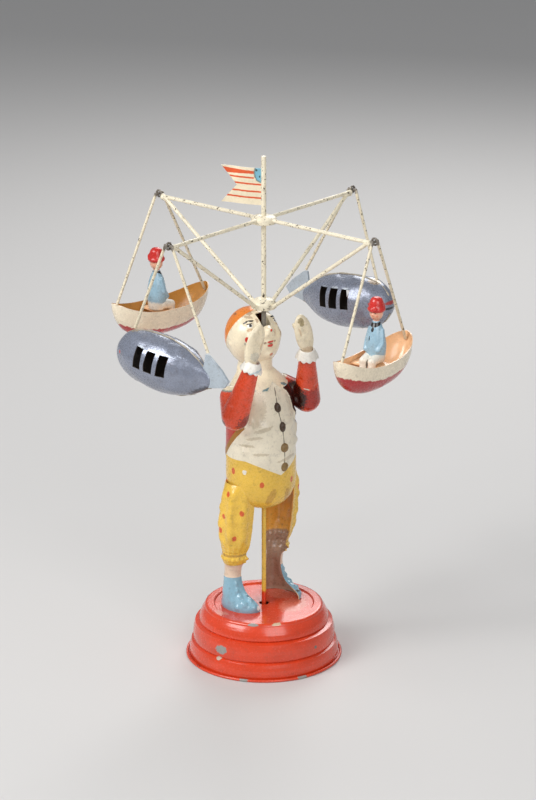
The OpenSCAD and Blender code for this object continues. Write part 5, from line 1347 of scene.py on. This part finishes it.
class TOY_OT_airships(bpy.types.Operator):
    """Make both airships: two lacquered half shells with windows, a fin and soldered seams"""
    bl_idname = "toy.airships"
    bl_label = "Airships"

    def execute(self, context):
        tints = context.scene.toy_colours
        bead = context.scene.toy_sizes.bead
        rings = [(0, 0, SHIP_NOSE - share * SHIP_LONG, wide * SHIP_WIDE, high * SHIP_HIGH)
                 for share, high, wide in reversed(SHIP)]
        hull = loft("ship_1_left", rings, 48, closed=True)
        smooth(hull)
        apply_place(hull, LENGTHWISE)
        outwards(hull, (0, 0, 0))
        for middle in WINDOWS:
            for edge in (-WINDOW_HALF, WINDOW_HALF):
                cut(hull, (middle + edge, 0, 0), (1, 0, 0))
        for z in (WINDOW_SILL, WINDOW_TOP):
            cut(hull, (0, 0, z), (0, 0, 1))
        cut(hull, (0, 0, 0), (0, 1, 0))

        def window(spot):
            return (WINDOW_SILL < spot.z < WINDOW_TOP and abs(spot.y) > 6.6
                    and any(abs(spot.x - middle) < WINDOW_HALF for middle in WINDOWS))

        drop(hull, window)
        for number in range(46):
            turn, along = number * 2.4, -30 + (number * 17.3) % 66
            share = (SHIP_NOSE - along) / SHIP_LONG
            high, wide = between(SHIP, share, 1) * SHIP_HIGH, between(SHIP, share, 2) * SHIP_WIDE
            place = (along, wide * math.cos(turn), high * math.sin(turn))
            depth = 0.7 if number % 2 else -0.6
            swell(hull, place, (0, depth * math.cos(turn), depth * math.sin(turn)), 5 + number % 4)
        pale, dark, black = srgb(206, 214, 222), srgb(60, 58, 60), srgb(22, 20, 20)
        marks = [spot((30.5, 9.4, 2), (1.5, 3, 1.5), tints.lips, ragged=0.3),
                 spot((30.5, -9.4, 2), (1.5, 3, 1.5), tints.lips, ragged=0.3),
                 spot((38, 0, -2.2), (3.4, 7, 1.0), black, (0, 0, 0), 0.2, 0.85),
                 spot((38.6, 0, 1.4), (2.4, 5, 1.5), tints.lips, ragged=0.4, strength=0.8),
                 spot((28, 0, 16), (5, 5, 4), srgb(182, 158, 124), ragged=0.6, strength=0.7),
                 # Painted shade: dark grey under the tail.
                 spot((-34, 0, -9), (14, 9, 6), dark, (0, 14, 0), 0.5, 0.7)]
        for middle in WINDOWS:
            for side in (1, -1):
                marks.append(spot((middle, side * 15, 11.5), (3.6, 4, 1.0), pale, ragged=0.4, strength=0.7))
        silver = paint("airship lacquer", tints.silver, marks, own=True, chips=0.3, chip_size=2.2, grime=0.35,
                       gloss=0.28, under=srgb(96, 92, 90), metal=0.4, coat=0.35, relief=0.7)
        inside = paint("airship inside", srgb(74, 66, 60), own=True, chips=0.2, grime=0.6, gloss=0.5)
        slots(hull, silver, inside)
        areas(hull, lambda spot: 0)
        left = part_off(hull, lambda spot: spot.y > 0, "half")
        for piece in (hull, left):
            thicken(piece, 1)
        fin = self.outline("fin", FIN, 0.42, 0.15)
        slots(fin, paint("fin enamel", srgb(170, 180, 188), own=True, chips=0.35, chip_size=2, grime=0.4, gloss=0.3,
                         under=srgb(110, 104, 98)))
        fin_left = copy_of(fin, "fin left")
        for piece, side in ((fin, -1), (fin_left, 1)):
            apply_place(piece, Matrix.Translation(at(0, side * 0.45, 0)))
        hull = join("ship_right", hull, fin)
        left = join("ship_left", left, fin_left)
        seams = []
        for sign in (1, -1):
            line = [(SHIP_NOSE - share * SHIP_LONG, 0, sign * (high * SHIP_HIGH - 0.1))
                    for share, high, _ in SHIP[1:]]
            seams.append(self.solder(line, bead / 2 / MM))
        seam = join("ship_seam", *seams)
        slots(seam, paint("solder", srgb(170, 160, 142), own=True, chips=0.4, chip_size=1.5, grime=0.5, gloss=0.4,
                          under=srgb(104, 90, 74), tin=0.4))
        for piece, part in ((left, "left"), (hull, "right"), (seam, "seam")):
            keep_own_place(piece)
            other = copy_of(piece, f"ship_2_{part}")
            piece.name = piece.data.name = f"ship_1_{part}"
            for number, one in ((1, piece), (2, other)):
                apply_place(one, ship_place(number))
                settle(one, f"airship_{number}", "silver_lacquer",
                       *([f"airship_{number}_{part}"] if part != "seam" else []))
        return {"FINISHED"}

    def outline(self, name, points, half, bevel):
        """A flat plate from (x, z) points, standing in the plane y = 0."""
        fresh()
        bpy.ops.curve.primitive_bezier_circle_add(radius=MM, location=(0, 0, 0))
        curve = bpy.context.object
        curve.data.dimensions = "2D"
        curve.data.splines.clear()
        spline = curve.data.splines.new("POLY")
        spline.points.add(len(points) - 1)
        for knot, (x, z) in zip(spline.points, points):
            knot.co = (*at(x, z, 0), 1)
        spline.use_cyclic_u = True
        curve.data.fill_mode = "BOTH"
        curve.data.extrude = (half - bevel) * MM
        curve.data.bevel_depth = bevel * MM
        curve.data.offset = -bevel * MM
        bpy.ops.object.convert(target="MESH")
        piece = named(name)
        apply_place(piece, Matrix.Rotation(math.radians(90), 4, "X"))
        outwards(piece, (-38, 0, 4))
        return piece

    def solder(self, line, radius):
        """A lumpy bead along a line of places."""
        fresh()
        bpy.ops.curve.primitive_nurbs_path_add(radius=MM, location=(0, 0, 0))
        curve = bpy.context.object
        curve.data.splines.clear()
        spline = curve.data.splines.new("NURBS")
        count = 44
        spline.points.add(count - 1)
        for number, knot in enumerate(spline.points):
            share = number / (count - 1) * (len(line) - 1)
            low = min(int(share), len(line) - 2)
            place = [a + (b - a) * (share - low) for a, b in zip(line[low], line[low + 1])]
            knot.co = (*at(*place), 1)
            knot.radius = 0.75 + 0.35 * math.sin(number * 2.3) * math.cos(number * 1.1)
        spline.order_u = 3
        spline.use_endpoint_u = True
        curve.data.bevel_depth = radius * MM
        curve.data.bevel_resolution = 3
        curve.data.use_fill_caps = True
        bpy.ops.object.convert(target="MESH")
        return named("bead")


class TOY_OT_passengers(bpy.types.Operator):
    """Make the passenger that sits in each airship"""
    bl_idname = "toy.passengers"
    bl_label = "Passengers"

    def execute(self, context):
        tints = context.scene.toy_colours
        x, floor = -6.4, -15.9
        piece = turned("passenger_1", [(2.8, 0.1), (3.3, 0.6), (4.5, 4), (4.5, 10.5), (3.4, 12.8), (1.9, 14.2),
                                       (1.7, 16), (2.6, 16.6), (3.8, 18), (4.4, 20.4), (3.9, 22.8), (2.4, 24.4),
                                       (0.8, 24.9)], 32, (x, 0, floor), 1.9)
        smooth(piece, 1)
        for side in (1, -1):
            swell(piece, (x, side * 8.5, floor + 10), (0, side * 1.6, 0.3), 4)
        black = srgb(34, 26, 24)
        slots(piece, paint("passenger enamel", tints.skin, [
            spot((x, 0, floor + 6), (7, 7, 8.4), srgb(240, 218, 186), ragged=0.1),
            spot((x, 0, floor + 23.6), (5, 5, 2.0), srgb(92, 56, 34), ragged=0.2),
            spot((x + 3.6, 3, floor + 20.8), (0.9, 0.8, 0.5), black, ragged=0.2),
            spot((x + 3.6, -3, floor + 20.8), (0.9, 0.8, 0.5), black, ragged=0.2),
            spot((x + 4, 0, floor + 18.6), (0.9, 1.1, 0.35), tints.lips, ragged=0.2)],
            own=True, chips=0.2, grime=0.35, gloss=0.32, under=srgb(150, 120, 100), tin=0.1))
        keep_own_place(piece)
        other = copy_of(piece, "passenger_2")
        for number, one in ((1, piece), (2, other)):
            apply_place(one, ship_place(number))
            sit_on_node(one, f"airship_{number}_passenger")
            settle(one, f"airship_{number}", "passenger_skin", f"airship_{number}_passenger", angle=60)
        return {"FINISHED"}


class TOY_OT_stage(bpy.types.Operator):
    """Set the floor, the soft lamps and the camera"""
    bl_idname = "toy.stage"
    bl_label = "Stage"

    def execute(self, context):
        fresh()
        bpy.ops.mesh.primitive_plane_add(size=9, location=(0, 1.5, 0))
        floor = named("floor")
        material = bpy.data.materials.new("floor")
        material.use_nodes = True
        shader = material.node_tree.nodes["Principled BSDF"]
        shader.inputs["Base Color"].default_value = (*srgb(208, 206, 204), 1)
        shader.inputs["Roughness"].default_value = 0.7
        floor.data.materials.append(material)
        for name, place, power, size in (("key", (-1.15, 0.15, 1.25), 20, 0.9), ("back", (0.95, 0.75, 1.0), 9, 0.8),
                                         ("front", (-0.5, -1.7, 1.1), 15, 1.2)):
            light = bpy.data.lights.new(name, "AREA")
            light.energy = power
            light.size = size
            lamp = bpy.data.objects.new(name, light)
            context.collection.objects.link(lamp)
            lamp.location = place
            way = Vector((0, 0, 0.17)) - Vector(place)
            lamp.rotation_euler = way.to_track_quat("-Z", "Y").to_euler()
        world = bpy.data.worlds.new("studio")
        world.use_nodes = True
        world.node_tree.nodes["Background"].inputs["Color"].default_value = (0.75, 0.77, 0.8, 1)
        world.node_tree.nodes["Background"].inputs["Strength"].default_value = 0.35
        context.scene.world = world
        lens = bpy.data.cameras.new("camera")
        lens.lens = 131.23
        lens.sensor_width = 36
        lens.sensor_fit = "AUTO"
        camera = bpy.data.objects.new("camera", lens)
        context.collection.objects.link(camera)
        camera.location = (-1.1016, -1.4144, 0.7897)
        camera.rotation_euler = (math.radians(71.145), 0, math.radians(-38))
        context.scene.camera = camera
        context.scene.view_settings.view_transform = "Standard"
        return {"FINISHED"}


PIECES = (TOY_OT_base, TOY_OT_carousel, TOY_OT_flag, TOY_OT_torso, TOY_OT_buttons, TOY_OT_head, TOY_OT_arms,
          TOY_OT_legs, TOY_OT_boats, TOY_OT_sailors, TOY_OT_airships, TOY_OT_passengers, TOY_OT_stage)


class TOY_PT_panel(bpy.types.Panel):
    """Sizes, colours and pieces of the toy"""
    bl_idname = "TOY_PT_panel"
    bl_label = "Carousel toy"
    bl_space_type = "VIEW_3D"
    bl_region_type = "UI"
    bl_category = "Toy"

    def draw(self, context):
        layout = self.layout
        for group in (context.scene.toy_sizes, context.scene.toy_colours):
            box = layout.box()
            for name in group.__annotations__:
                box.prop(group, name)
        for piece in PIECES:
            layout.operator(piece.bl_idname)


CLASSES = (ToySizes, ToyColours, *PIECES, TOY_PT_panel)


def register():
    for one in CLASSES:
        bpy.utils.register_class(one)
    bpy.types.Scene.toy_sizes = PointerProperty(type=ToySizes)
    bpy.types.Scene.toy_colours = PointerProperty(type=ToyColours)


def unregister():
    del bpy.types.Scene.toy_colours
    del bpy.types.Scene.toy_sizes
    for one in reversed(CLASSES):
        bpy.utils.unregister_class(one)


def main():
    register()
    bpy.ops.toy.base()
    bpy.ops.toy.carousel()
    bpy.ops.toy.flag()
    bpy.ops.toy.torso()
    bpy.ops.toy.buttons()
    bpy.ops.toy.head()
    bpy.ops.toy.arms()
    bpy.ops.toy.legs()
    bpy.ops.toy.boats()
    bpy.ops.toy.sailors()
    bpy.ops.toy.airships()
    bpy.ops.toy.passengers()
    bpy.ops.toy.stage()
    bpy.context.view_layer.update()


if __name__ == "__main__":
    main()
